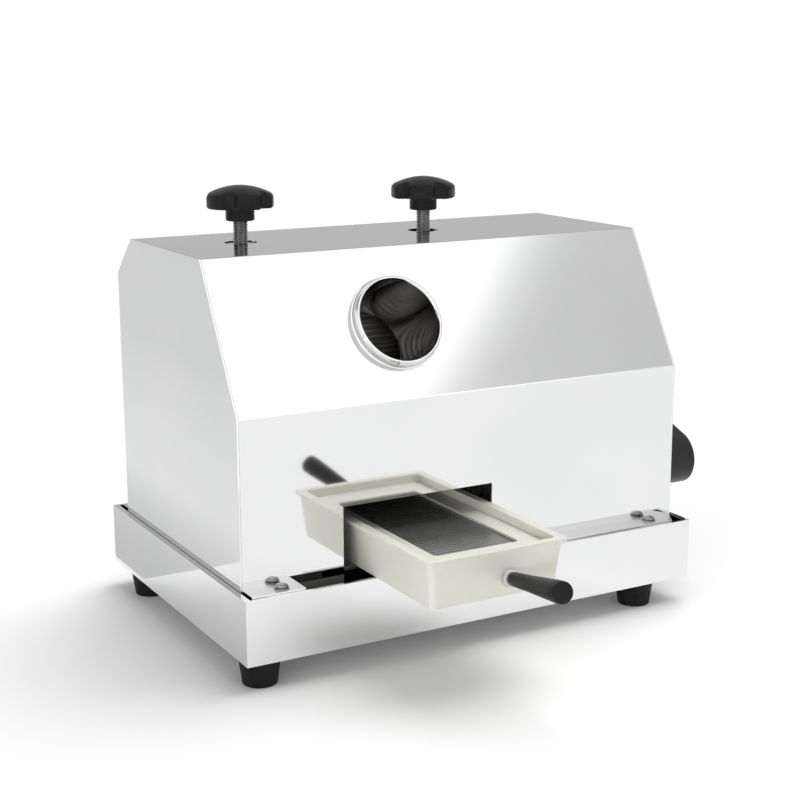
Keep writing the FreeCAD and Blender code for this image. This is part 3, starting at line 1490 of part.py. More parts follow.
def make_star_knob(label, x, turned):
    """A lobed knob with a crown, a boss and a blind bore for the screw."""
    body = new_body(label)
    rim = knob_width / 2
    rod = pressure_rod / 2
    turn(body, [
        (rod, knob_base), (knob_boss / 2, knob_base), (knob_boss / 2, knob_under),
        (rim, knob_under), *crown(rim, knob_top, knob_dome), (zero, knob_under + knob_skirt / 2),
        (rod, knob_under + knob_skirt / 2),
    ], "XZ_Plane", "V_Axis")
    hollow = new_sketch(body, "XY_Plane", knob_top + knob_dome)
    draw_circle(hollow, knob_scallop_out, zero, knob_scallop)
    cut = pocket(body, hollow, knob_dome + knob_skirt)
    repeat_round(body, cut, "Z_Axis", knob_lobes)
    keep(place(body, x, roller_axis_y, zero, Z_AXIS, degrees(turned)))


make_pressure_screw("left_pressure_screw", left_rod)
make_pressure_screw("right_pressure_screw", right_rod)
make_star_knob("left_star_knob", left_rod, left_knob_turned)
make_star_knob("right_star_knob", right_rod, right_knob_turned)


# ---------------------------------------------------------------- juice tray

tray_front = -tray_ahead
wall_top = [-tray_left + tray_rim, tray_right - tray_rim,
            tray_front + tray_rim, tray_behind - tray_rim]
wall_base = [wall_top[0] + tray_draft, wall_top[1] - tray_draft,
             wall_top[2] + tray_draft, wall_top[3] - tray_draft]
frame_top = tray_top - frame_deep
ledge = frame_top - frame_thick
frame_edges = [wall_top[0] + tray_wall + tray_draft / 2, wall_top[1] - tray_wall - tray_draft / 2,
               wall_top[2] + tray_wall + tray_draft / 2, wall_top[3] - tray_wall - tray_draft / 2]


def inset(edges, amount):
    return [edges[0] + amount, edges[1] - amount, edges[2] + amount, edges[3] - amount]


def loft(body, lower, upper, kind):
    feature = body.newObject(kind, "Loft")
    feature.Profile = lower
    feature.Sections = [upper]
    feature.Ruled = True
    return feature


def tapered(body, lower_edges, lower_z, upper_edges, upper_z, kind="PartDesign::AdditiveLoft"):
    lower = new_sketch(body, "XY_Plane", lower_z)
    draw_outline(lower, round_corners(*lower_edges, tray_corner))
    upper = new_sketch(body, "XY_Plane", upper_z)
    draw_outline(upper, round_corners(*upper_edges, tray_corner))
    return loft(body, lower, upper, kind)


def make_tray():
    """The moulded drawer: leaning walls, an overhanging rim and a ledge for the filter."""
    body = new_body("juice_tray")
    tapered(body, wall_base, tray_bottom, wall_top, tray_top)
    rim = new_sketch(body, "XY_Plane", tray_top)
    draw_outline(rim, round_corners(
        -tray_left, tray_right, tray_front, tray_behind, tray_corner))
    pad(body, rim, tray_rim_height, backwards=True)
    mouth = new_sketch(body, "XY_Plane", tray_top)
    draw_outline(mouth, round_corners(*inset(frame_edges, -gap), tray_corner))
    pocket(body, mouth, frame_deep + frame_thick)
    tapered(body, inset(wall_base, tray_wall), tray_bottom + tray_wall,
            inset(frame_edges, tray_step), ledge, "PartDesign::SubtractiveLoft")
    keep(place(body))


def make_filter_frame():
    """The lift-out frame round the filter, with a rebate for its screen below."""
    body = new_body("filter_frame")
    opening = [frame_edges[0] + frame_border, frame_edges[1] - frame_border,
               frame_edges[2] + frame_border_end, frame_edges[3] - frame_border_end]
    outline = new_sketch(body, "XY_Plane", ledge)
    draw_outline(outline, round_corners(*frame_edges, tray_corner))
    draw_outline(outline, round_corners(*opening, filter_corner))
    pad(body, outline, frame_thick)
    rebate = new_sketch(body, "XY_Plane", ledge)
    draw_outline(rebate, round_corners(*inset(opening, -filter_rebate), filter_corner))
    pocket(body, rebate, filter_steel, backwards=True)
    keep(place(body))
    return inset(opening, -filter_rebate), opening


def make_filter_screen(edges, opening):
    """The slotted screen of dark steel."""
    body = new_body("filter_screen")
    outline = new_sketch(body, "XY_Plane", ledge)
    draw_outline(outline, round_corners(*edges, filter_corner))
    pad(body, outline, filter_steel)
    step = (opening[3] - opening[2]) / (filter_slots + 1)
    slot = new_sketch(body, "XY_Plane", ledge + filter_steel)
    first = opening[2] + step
    draw_outline(slot, box_corners(opening[0] + filter_rebate, opening[1] - filter_rebate,
                                   first - filter_slot / 2, first + filter_slot / 2))
    cut = pocket(body, slot, filter_steel)
    repeat_along(body, cut, "Y_Axis", step, filter_slots)
    keep(place(body))


make_tray()
screen_edges, filter_opening = make_filter_frame()
make_filter_screen(screen_edges, filter_opening)

# the tray's handle leans a little upwards and to the left of the tray's front
front_lean = tray_draft / tray_height
handle_base_y = wall_base[2] - (pan_top + handle_z - tray_bottom) * front_lean
side_turn = math.radians(handle_side.value)
up_turn = math.radians(handle_up.value)
handle_way = FreeCAD.Vector(-math.sin(side_turn) * math.cos(up_turn),
                            -math.cos(side_turn) * math.cos(up_turn), math.sin(up_turn))
handle_turned = FreeCAD.Rotation(FreeCAD.Vector(0, 0, 1), handle_way)


def place_on_handle(piece):
    place(piece, -handle_x, handle_base_y, pan_top + handle_z)
    piece.Placement.Rotation = handle_turned
    return piece


def make_ferrule():
    """The metal ferrule, cut off along the leaning front wall that it is fixed to."""
    blank = new_body("ferrule_blank")
    turn(blank, [
        (zero, -ferrule_length), (ferrule / 2, -ferrule_length),
        (ferrule / 2, ferrule_length - ring_edge / 2),
        (ferrule / 2 - ring_edge / 2, ferrule_length), (zero, ferrule_length),
    ], "XZ_Plane", "V_Axis")
    place_on_handle(blank)
    wall = doc.addObject("Part::Box", "ferrule_trim")
    for side in ("Length", "Width", "Height"):
        wall.setExpression(side, (ferrule_length * 4).text)
    tilt = lean(tray_draft, tray_height)
    wall.Placement.Rotation = FreeCAD.Rotation(FreeCAD.Vector(*X_AXIS), tilt.value)
    wall.setExpression("Placement.Rotation.Angle", tilt.text)
    wall.setExpression("Placement.Base.x", (-handle_x - ferrule_length * 2 - middle_x).text)
    drop = ferrule_length * 2
    wall.setExpression("Placement.Base.y", (handle_base_y + drop * front_lean - middle_y).text)
    wall.setExpression("Placement.Base.z", (pan_top + handle_z - drop).text)
    cut = doc.addObject("Part::Cut", "handle_ferrule")
    cut.Label = "handle_ferrule"
    cut.Base = blank
    cut.Tool = wall
    keep(cut)


def make_tray_grip():
    """The black grip of the tray's handle, tapered towards the ferrule."""
    body = new_body("tray_grip")
    end = ferrule_length + handle_length
    turn(body, [
        (zero, ferrule_length), (handle_root / 2, ferrule_length),
        (handle_end / 2, end - handle_round),
        (handle_end / 2 - handle_round, end), (zero, end),
    ], "XZ_Plane", "V_Axis")
    keep(place_on_handle(body))


make_ferrule()
make_tray_grip()


# ---------------------------------------------------------------- check and write

doc.recompute()
for item in doc.Objects:
    if "Invalid" in item.State or "Error" in item.State:
        raise RuntimeError(f"{item.Name} failed to build: {item.State}")
for piece in pieces:
    if piece.Shape.isNull() or not piece.Shape.isValid():
        raise RuntimeError(f"{piece.Label} has no valid shape")
os.makedirs("parts", exist_ok=True)
for piece in pieces:
    piece.Shape.exportStep(os.path.join("parts", piece.Label + ".step"))
print(len(pieces), "pieces written")
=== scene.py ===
import json
import math

import bmesh
import bpy
from mathutils import Matrix, Vector


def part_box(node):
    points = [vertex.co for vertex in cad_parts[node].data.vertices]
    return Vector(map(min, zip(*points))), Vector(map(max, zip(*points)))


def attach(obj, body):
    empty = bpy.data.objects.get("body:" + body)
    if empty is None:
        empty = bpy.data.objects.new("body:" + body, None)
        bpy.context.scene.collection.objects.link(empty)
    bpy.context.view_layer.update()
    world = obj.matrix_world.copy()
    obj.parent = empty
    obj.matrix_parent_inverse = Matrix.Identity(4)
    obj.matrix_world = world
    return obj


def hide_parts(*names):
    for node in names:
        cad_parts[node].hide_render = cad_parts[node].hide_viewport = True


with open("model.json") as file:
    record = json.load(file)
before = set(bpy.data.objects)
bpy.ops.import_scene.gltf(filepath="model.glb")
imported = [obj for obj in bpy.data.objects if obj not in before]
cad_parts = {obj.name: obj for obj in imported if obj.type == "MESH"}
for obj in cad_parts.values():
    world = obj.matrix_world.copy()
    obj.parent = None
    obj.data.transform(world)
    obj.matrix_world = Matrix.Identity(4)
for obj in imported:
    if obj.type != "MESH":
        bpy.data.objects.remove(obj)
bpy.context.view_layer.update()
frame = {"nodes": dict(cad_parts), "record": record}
record = frame["record"]
slotOf = {part["node"]: part["material_slot"] for part in record["subparts"]}
bodyOf = {node: body for body, nodes in record["behaviour"]["bodies"].items() for node in nodes}
mm = 0.001
mergeWithin = 2e-6  # vertices this near each other become one
noLength = 1e-6  # an edge or a radius shorter than this is nothing
levelWithin = 1e-5  # a vertex this near a level lies on it
flatWithin = 0.4  # degrees between faces that are joined into one flat face
print("frame loaded:", len(frame["nodes"]), "nodes")


# Node trees. A Signal is one socket; arithmetic on it adds Math nodes to its tree.

class Signal:
    def __init__(self, graph, socket):
        self.graph = graph
        self.socket = socket

    def maths(self, operation, first, second=None):
        values = {0: first} if second is None else {0: first, 1: second}
        return self.graph.add("ShaderNodeMath", {"operation": operation}, values)

    def __add__(self, other):
        return self.maths("ADD", self, other)

    def __sub__(self, other):
        return self.maths("SUBTRACT", self, other)

    def __mul__(self, other):
        return self.maths("MULTIPLY", self, other)

    def __truediv__(self, other):
        return self.maths("DIVIDE", self, other)

    def __rsub__(self, other):
        return self.maths("SUBTRACT", other, self)

    def __rtruediv__(self, other):
        return self.maths("DIVIDE", other, self)

    __radd__ = __add__
    __rmul__ = __mul__

    def over(self, limit):
        return self.maths("GREATER_THAN", self, limit)

    def least(self, limit):
        return self.maths("MAXIMUM", self, limit)

    def most(self, limit):
        return self.maths("MINIMUM", self, limit)

    def size(self):
        return self.maths("ABSOLUTE", self)


class Graph:
    def __init__(self, tree):
        self.tree = tree
        tree.nodes.clear()

    def add(self, kind, settings=None, sockets=None, out=0):
        node = self.tree.nodes.new(kind)
        for name, value in (settings or {}).items():
            if name == "stops":  # a ramp's (place, grey or colour) list
                fillRamp(node.color_ramp.elements, value)
            else:
                setattr(node, name, value)
        for name, value in (sockets or {}).items():
            if isinstance(value, Signal):
                self.tree.links.new(value.socket, node.inputs[name])
            else:
                node.inputs[name].default_value = value
        return Signal(self, node.outputs[out]) if len(node.outputs) else node

    def noise(self, coords, scale, detail=3.0, roughness=0.5):
        return self.add("ShaderNodeTexNoise", None, {
            "Vector": coords, "Scale": scale, "Detail": detail, "Roughness": roughness})

    def ramp(self, value, stops):
        return self.add("ShaderNodeValToRGB", {"stops": stops}, {"Fac": value})

    def mixColour(self, mask, first, second):
        return self.add("ShaderNodeMix", {"data_type": "RGBA"},
                        {0: mask, 6: first, 7: second}, out=2)


def fillRamp(elements, stops):
    while len(elements) > len(stops):
        elements.remove(elements[-1])
    while len(elements) < len(stops):
        elements.new(1.0)
    for element, (place, tone) in zip(elements, stops):
        element.position = place
        element.color = tone if isinstance(tone, tuple) else (tone, tone, tone, 1.0)


def rgb(red, green, blue):
    return (red, green, blue, 1.0)


class Finish(Graph):
    # one material: a Principled shader, and Object coordinates to build its patterns on
    def __init__(self, name, **constants):
        self.material = bpy.data.materials.new(name)
        self.material.use_nodes = True
        super().__init__(self.material.node_tree)
        self.shader = self.tree.nodes.new("ShaderNodeBsdfPrincipled")
        output = self.tree.nodes.new("ShaderNodeOutputMaterial")
        self.tree.links.new(self.shader.outputs[0], output.inputs[0])
        for name, value in constants.items():
            self.shader.inputs[name.replace("_", " ")].default_value = value
        self.coords = self.add("ShaderNodeTexCoord", out=3)

    def feed(self, **channels):
        for name, value in channels.items():
            self.tree.links.new(value.socket, self.shader.inputs[name.replace("_", " ")])
        return self

    def painted(self, name):
        # a value that the mesh carries on its faces, nought where it has none
        return self.add("ShaderNodeAttribute", {"attribute_name": name}, out=2)

    def cloud(self, scale, detail=3.0, roughness=0.5, stretch=None):
        # noise on the piece, drawn out where stretch gives each axis a scale of its own
        coords = self.coords
        if stretch:
            coords = self.add("ShaderNodeMapping", None, {"Vector": coords, "Scale": stretch})
        return self.noise(coords, scale, detail, roughness)

    def between(self, mask, dark, light, low=0.3, high=0.7):
        # a colour that runs from dark to light as the mask runs from low to high
        return self.ramp(mask, [(low, rgb(*dark)), (high, rgb(*light))])

    def relief(self, height, distance, strength=1.0):
        bump = self.add("ShaderNodeBump", None, {
            "Height": height, "Distance": distance, "Strength": strength})
        return self.feed(Normal=bump)


# finishes

def polishedSheet():
    # mirror steel: faint rolling waviness, wiping haze and a few hairlines; where a face
    # is shaded its colour is painted darker, as painted shade, and it is made rougher
    steel = Finish("polishedSheet", Metallic=1.0)
    shade = steel.painted("shade")
    haze = steel.cloud(scale=9.0, detail=4.0)
    hair = steel.cloud(scale=1.0, detail=2.0, stretch=(30.0, 900.0, 900.0))
    cast = steel.between(haze, (0.785, 0.79, 0.795), (0.82, 0.82, 0.825))
    # painted shade: a darker grey on the faces that carry shade
    paintedShadeTone = steel.mixColour(shade, cast, rgb(0.68, 0.68, 0.67))
    steel.feed(Base_Color=paintedShadeTone, Roughness=0.028 + haze * 0.03 + hair * 0.018 + shade * 0.34)
    return steel.relief(steel.cloud(scale=5.0, detail=1.0), distance=0.00012).material


def inletSteel():
    # the lip is mirror bright; the outer wall and the bore are painted darker as painted shade,
    # the bore a little rougher as drawn
    steel = Finish("inletSteel", Metallic=1.0)
    shade = steel.painted("shade")
    drawn = steel.cloud(scale=1.0, stretch=(8.0, 200.0, 200.0))
    # painted shade: darker grey on the outer wall and in the bore
    tone = steel.ramp(shade, [(0.0, rgb(0.8, 0.8, 0.8)), (0.5, rgb(0.5, 0.5, 0.5)),
                              (1.0, rgb(0.58, 0.565, 0.55))])
    steel.feed(Base_Color=tone, Roughness=0.03 + shade * 0.07 + shade * drawn * 0.05)
    return steel.material


def rollerSteel():
    # rollers in a dark steel grey, in blotches, and rough
    steel = Finish("rollerSteel", Metallic=1.0)
    blotch = steel.cloud(scale=60.0, detail=4.0)
    tone = steel.between(blotch, (0.33, 0.32, 0.31), (0.42, 0.41, 0.4))
    steel.feed(Base_Color=tone, Roughness=0.44 + blotch * 0.12)
    return steel.relief(blotch, distance=0.00003).material


def groundPlate():
    # ground plate: straight grinding lines front to back, darker where it was handled
    steel = Finish("groundPlate", Metallic=1.0)
    lines = steel.cloud(scale=1.0, stretch=(700.0, 14.0, 700.0))
    handled = steel.cloud(scale=26.0)
    tone = steel.between(handled * 0.7 + lines * 0.3, (0.46, 0.465, 0.48), (0.64, 0.645, 0.66))
    steel.feed(Base_Color=tone, Roughness=0.24 + lines * 0.22)
    return steel.relief(lines, distance=0.00003).material


def turnedSteel(name, axis, dark=0.56, light=0.71):
    # lathe rings run square to the axis of the piece
    steel = Finish(name, Metallic=1.0)
    stretch = [4.0, 4.0, 4.0]
    stretch["XYZ".index(axis)] = 2600.0
    rings = steel.cloud(scale=1.0, detail=2.0, stretch=stretch)
    handled = steel.cloud(scale=40.0)
    tone = steel.between(handled, (dark, dark, dark), (light, light, light))
    steel.feed(Base_Color=tone, Roughness=0.16 + rings * 0.22)
    return steel.relief(rings, distance=0.00002).material


def fastenerSteel():
    steel = Finish("fastenerSteel", Metallic=1.0)
    plating = steel.cloud(scale=120.0, detail=4.0)
    tone = steel.between(plating, (0.42, 0.425, 0.44), (0.62, 0.625, 0.64))
    steel.feed(Base_Color=tone, Roughness=0.2 + plating * 0.2)
    return steel.relief(steel.cloud(scale=900.0, detail=2.0), distance=0.00002).material


def screwSteel():
    # bright zinc: near black where it looks at the dark, near white where it looks at light
    steel = Finish("screwSteel", Metallic=1.0)
    plating = steel.cloud(scale=200.0)
    tone = steel.between(plating, (0.24, 0.24, 0.245), (0.38, 0.38, 0.385))
    steel.feed(Base_Color=tone, Roughness=0.1 + plating * 0.08)
    return steel.material


def gearSteel():
    # cut teeth with a film of grease in the hollows
    steel = Finish("gearSteel", Metallic=1.0, Coat_Roughness=0.2)
    film = steel.cloud(scale=55.0, detail=5.0, roughness=0.6)
    tone = steel.between(film, (0.23, 0.22, 0.2), (0.43, 0.435, 0.45), low=0.35, high=0.65)
    hob = steel.cloud(scale=1.0, detail=2.0, stretch=(90.0, 1500.0, 1500.0))
    steel.feed(Base_Color=tone, Roughness=0.22 + hob * 0.25,
               Coat_Weight=steel.ramp(film, [(0.35, 0.7), (0.6, 0.0)]))
    return steel.relief(hob, distance=0.00002).material


def bearingBronze():
    bronze = Finish("bearingBronze", Metallic=1.0)
    rings = bronze.cloud(scale=1.0, detail=2.0, stretch=(2400.0, 5.0, 5.0))
    tarnish = bronze.cloud(scale=60.0, detail=4.0)
    tone = bronze.between(tarnish, (0.42, 0.24, 0.09), (0.68, 0.45, 0.2))
    bronze.feed(Base_Color=tone, Roughness=0.25 + rings * 0.25)
    return bronze.relief(rings, distance=0.00002).material


def blackEnamel():
    # enamel over a sand casting: the casting's skin shows softly through the gloss
    enamel = Finish("blackEnamel", Coat_Roughness=0.1, Specular_IOR_Level=0.25)
    skin = enamel.cloud(scale=380.0, detail=4.0, roughness=0.6)
    dust = enamel.cloud(scale=45.0, detail=4.0)
    tone = enamel.between(dust, (0.008, 0.008, 0.009), (0.018, 0.018, 0.019), 0.4, 0.75)
    enamel.feed(Base_Color=tone, Roughness=0.3 + dust * 0.2,
                Coat_Weight=enamel.ramp(dust, [(0.3, 0.25), (0.8, 0.1)]))
    return enamel.relief(skin, distance=0.0002, strength=0.7).material


def mouldedBlack(name, gloss, grain, depth):
    # black thermoset: the mould's fine grain, and handling that polishes it in places
    plastic = Finish(name, Specular_IOR_Level=0.16)
    fine = plastic.cloud(scale=grain, roughness=0.55)
    worn = plastic.cloud(scale=38.0, detail=4.0)
    tone = plastic.between(worn, (0.006, 0.006, 0.007), (0.013, 0.013, 0.014), low=0.35)
    plastic.feed(Base_Color=tone, Roughness=gloss + worn * 0.16 + fine * 0.05)
    return plastic.relief(fine, depth).material


def footRubber():
    rubber = Finish("footRubber", Specular_IOR_Level=0.15)
    fine = rubber.cloud(scale=1500.0)
    dust = rubber.cloud(scale=70.0, detail=5.0, roughness=0.65)
    tone = rubber.between(dust, (0.006, 0.006, 0.006), (0.016, 0.016, 0.015), 0.35, 0.75)
    rubber.feed(Base_Color=tone, Roughness=0.42 + dust * 0.3)
    return rubber.relief(fine, distance=0.00005).material


def trayPlastic():
    # ivory moulding with a spark-eroded grain and a hint of juice staining
    plastic = Finish("trayPlastic", Specular_IOR_Level=0.45, Subsurface_Weight=0.08,
                     Subsurface_Scale=0.004)
    grain = plastic.cloud(scale=1900.0, detail=2.0)
    blotch = plastic.cloud(scale=17.0, detail=5.0, roughness=0.6)
    tone = plastic.between(blotch, (0.70, 0.69, 0.60), (0.76, 0.755, 0.69))
    plastic.feed(Base_Color=tone, Roughness=0.34 + blotch * 0.12)
    return plastic.relief(grain, distance=0.00003).material


def screenSteel():
    steel = Finish("screenSteel", Metallic=0.55)
    film = steel.cloud(scale=48.0, detail=4.0)
    tone = steel.between(film, (0.21, 0.21, 0.205), (0.25, 0.25, 0.245))
    steel.feed(Base_Color=tone, Roughness=0.26 + film * 0.08)
    return steel.material


finishes = {
    "polished_sheet": polishedSheet(),
    "frame_steel": groundPlate(),
    "turned_steel": turnedSteel("turnedAcross", "X"),
    "fasteners": fastenerSteel(),
    "gear_steel": gearSteel(),
    "bronze": bearingBronze(),
    "black_enamel": blackEnamel(),
    "knob_plastic": mouldedBlack("knobPlastic", gloss=0.2, grain=700.0, depth=0.00008),
    "grip_plastic": mouldedBlack("gripPlastic", gloss=0.3, grain=1200.0, depth=0.00005),
    "foot_rubber": footRubber(),
    "tray_plastic": trayPlastic(),
    "screen_steel": screenSteel(),
}
rodSteel = turnedSteel("turnedUpright", "Z", dark=0.27, light=0.36)
boreSteel = inletSteel()
zincSteel = screwSteel()
# nodes whose finish differs from that of their slot
ownFinish = dict.fromkeys(("front_roller", "rear_roller", "top_roller"), rollerSteel())
print("finishes made:", len(finishes))


# making and seating pieces

def placed(name, data):
    thing = bpy.data.objects.new(name, data)
    bpy.context.scene.collection.objects.link(thing)
    return thing


def fresh(node):
    # a merged copy of a CAD node's mesh, flat faces joined
    shape = bmesh.new()
    shape.from_mesh(frame["nodes"][node].data)
    return tidied(shape)


def tidied(shape):
    bmesh.ops.remove_doubles(shape, verts=shape.verts, dist=mergeWithin)
    bmesh.ops.dissolve_degenerate(shape, edges=shape.edges, dist=noLength)
    bmesh.ops.dissolve_limit(shape, angle_limit=math.radians(flatWithin),
                             verts=shape.verts, edges=shape.edges)
    return shape


def sealed(shape):
    # joins the two ends of a turned profile that comes back to its start
    bmesh.ops.remove_doubles(shape, verts=shape.verts, dist=noLength)
    bmesh.ops.recalc_face_normals(shape, faces=shape.faces)
    return shape


def toMesh(name, shape, crease=35):
    mesh = bpy.data.meshes.new(name)
    shape.to_mesh(mesh)
    shape.free()
    for spare in ("custom_normal", "sharp_face"):
        if spare in mesh.attributes:
            mesh.attributes.remove(mesh.attributes[spare])
    mesh.shade_smooth()
    mesh.set_sharp_from_angle(angle=math.radians(crease))
    return mesh


def seat(name, mesh, node, finish=None, others=()):
    # puts a finished mesh where its node is: same body, its slot's finish unless another is
    # given, and the node is hidden
    piece = placed(name, mesh)
    mesh.materials.clear()
    mesh.materials.append(finish or finishes[slotOf[node]])
    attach(piece, bodyOf[node])
    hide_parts(node, *others)
    return piece


def shadeFaces(mesh, amount):
    # stores on each face what the amount function gives for its centre and its normal
    values = [amount(face.center, face.normal) for face in mesh.polygons]
    mesh.attributes.new("shade", "FLOAT", "FACE").data.foreach_set("value", values)


def keepFlatsFlat(piece):
    weighted = piece.modifiers.new("flatFaces", "WEIGHTED_NORMAL")
    weighted.keep_sharp = True
    weighted.weight = 100


def broken(shape, width, least=35, steps=2, chosen=None):
    # breaks the sharp edges of a shape, or those that are chosen, by a small round
    edges = [edge for edge in shape.edges
             if edge.is_manifold and edge.calc_face_angle(0.0) > math.radians(least)
             and (chosen is None or chosen(edge))]
    bmesh.ops.bevel(shape, geom=edges, offset=width, segments=steps, profile=0.5,
                    affect="EDGES", clamp_overlap=True)
    return shape


def lathe(profile, start, along, steps=72, shape=None):
    # turns (distance along, radius) points about a line; ends on the line are closed
    shape = shape or bmesh.new()
    along = Vector(along).normalized()
    side = along.orthogonal().normalized()
    up = along.cross(side)
    rings = []
    for distance, radius in profile:
        centre = Vector(start) + along * distance
        if radius < noLength:
            rings.append([shape.verts.new(centre)])
            continue
        rings.append([shape.verts.new(
            centre + side * radius * math.cos(turn) + up * radius * math.sin(turn))
            for turn in (2 * math.pi * step / steps for step in range(steps))])
    for low, high in zip(rings, rings[1:]):
        for step in range(steps):
            after = (step + 1) % steps
            corners = [low[step % len(low)], low[after % len(low)],
                       high[after % len(high)], high[step % len(high)]]
            shape.faces.new(list(dict.fromkeys(corners)))
    bmesh.ops.recalc_face_normals(shape, faces=shape.faces)
    return shape


def eased(corners, arcSteps=5):
    # rounds the corners of an open profile: a corner is (along, radius) or (…, rounding)
    points = []
    for number, corner in enumerate(corners):
        here = Vector(corner[:2])
        if len(corner) == 2:
            points.append(tuple(here))
            continue
        before = Vector(corners[number - 1][:2]) - here
        after = Vector(corners[(number + 1) % len(corners)][:2]) - here
        angle = before.angle(after)
        reach = min(corner[2] / math.tan(angle / 2), before.length * 0.49, after.length * 0.49)
        first = here + before.normalized() * reach
        last = here + after.normalized() * reach
        for step in range(arcSteps + 1):
            share = step / arcSteps
            points.append(tuple(first * (1 - share) ** 2 + here * 2 * share * (1 - share)
                                + last * share ** 2))
    return points


def middle(node):
    low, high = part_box(node)
    return (low + high) / 2


# Geometry Nodes

def geometryTree(name, inputs):
    tree = bpy.data.node_groups.new(name, "GeometryNodeTree")
    tree.interface.new_socket("Geometry", in_out="INPUT", socket_type="NodeSocketGeometry")
    for label, kind in inputs.items():
        tree.interface.new_socket(label, in_out="INPUT", socket_type="NodeSocket" + kind)
    tree.interface.new_socket("Geometry", in_out="OUTPUT", socket_type="NodeSocketGeometry")
    plan = Graph(tree)
    plan.inputs = tree.nodes.new("NodeGroupInput")
    return plan


def given(plan, label):
    return Signal(plan, plan.inputs.outputs[label])


def close(plan, geometry, finish):
    # every plan ends in real geometry with its material
    real = plan.add("GeometryNodeRealizeInstances", None, {"Geometry": geometry})
    dressed = plan.add("GeometryNodeSetMaterial", None, {"Geometry": real, "Material": finish})
    output = plan.tree.nodes.new("NodeGroupOutput")
    plan.tree.links.new(dressed.socket, output.inputs[0])
    return plan.tree


def grow(name, tree, values, seed=None):
    # runs a plan on an empty or given mesh and returns the plain mesh it makes
    base = placed(name + "Base", seed or bpy.data.meshes.new(name + "Base"))
    modifier = base.modifiers.new("plan", "NODES")
    modifier.node_group = tree
    sockets = {item.name: item.identifier for item in tree.interface.items_tree
               if item.in_out == "INPUT"}
    for label, value in values.items():
        modifier[sockets[label]] = value
    depsgraph = bpy.context.evaluated_depsgraph_get()
    mesh = bpy.data.meshes.new_from_object(base.evaluated_get(depsgraph))
    base.modifiers.remove(modifier)
    bpy.data.objects.remove(base)
    mesh.name = name
    return mesh


# the casing: lengths in metres, bends in degrees
casingStyle = {"bend": 0.7 * mm, "cutEdge": 0.25 * mm, "leastBend": 15, "mostBend": 75,
               "snap": 1.0 * mm, "rodHole": 13.0 * mm, "rodHoleDeep": 12.0 * mm,
               "rodHoleSides": 48, "flangeShade": 0.8, "flangeIn": 9.5 * mm,
               "near": 2.0 * mm, "flangeHigh": 3.0 * mm}
casingSheets = ("cover_hood", "cover_front", "cover_back")


def joinSheets():
    # hood and uprights become the one folded sheet that they are cut from
    shape = bmesh.new()
    for node in casingSheets:
        shape.from_mesh(frame["nodes"][node].data)
    for node in casingSheets[1:]:
        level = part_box(node)[1].z
        edge = [vertex.co.copy() for vertex in frame["nodes"][node].data.vertices
                if abs(vertex.co.z - level) < levelWithin]
        for vertex in shape.verts:
            if abs(vertex.co.z - level) < levelWithin:
                near = min(edge, key=lambda spot: (spot - vertex.co).length)
                if (near - vertex.co).length < casingStyle["snap"]:
                    vertex.co = near
        inner = [face for face in shape.faces
                 if all(abs(vertex.co.z - level) < levelWithin for vertex in face.verts)]
        bmesh.ops.delete(shape, geom=inner, context="FACES_ONLY")
    return shape


def holePlan():
    # punches a round hole through a sheet at each point of a second mesh
    plan = geometryTree("roundHoles", {"Radius": "Float", "Deep": "Float", "Places": "Object"})
    punch = plan.add("GeometryNodeMeshCylinder", {"fill_type": "NGON"}, {
        "Vertices": casingStyle["rodHoleSides"], "Radius": given(plan, "Radius"),
        "Depth": given(plan, "Deep")})
    places = plan.add("GeometryNodeObjectInfo", None, {"Object": given(plan, "Places")})
    spots = Signal(plan, places.socket.node.outputs["Geometry"])
    punches = plan.add("GeometryNodeInstanceOnPoints", None, {
        "Points": spots, "Instance": punch})
    real = plan.add("GeometryNodeRealizeInstances", None, {"Geometry": punches})
    cut = plan.add("GeometryNodeMeshBoolean", {"operation": "DIFFERENCE"}, {
        "Mesh 1": given(plan, "Geometry"), "Mesh 2": real})
    return close(plan, cut, finishes["polished_sheet"])


def pointsAt(name, spots):
    mesh = bpy.data.meshes.new(name)
    mesh.from_pydata([tuple(spot) for spot in spots], [], [])
    return mesh


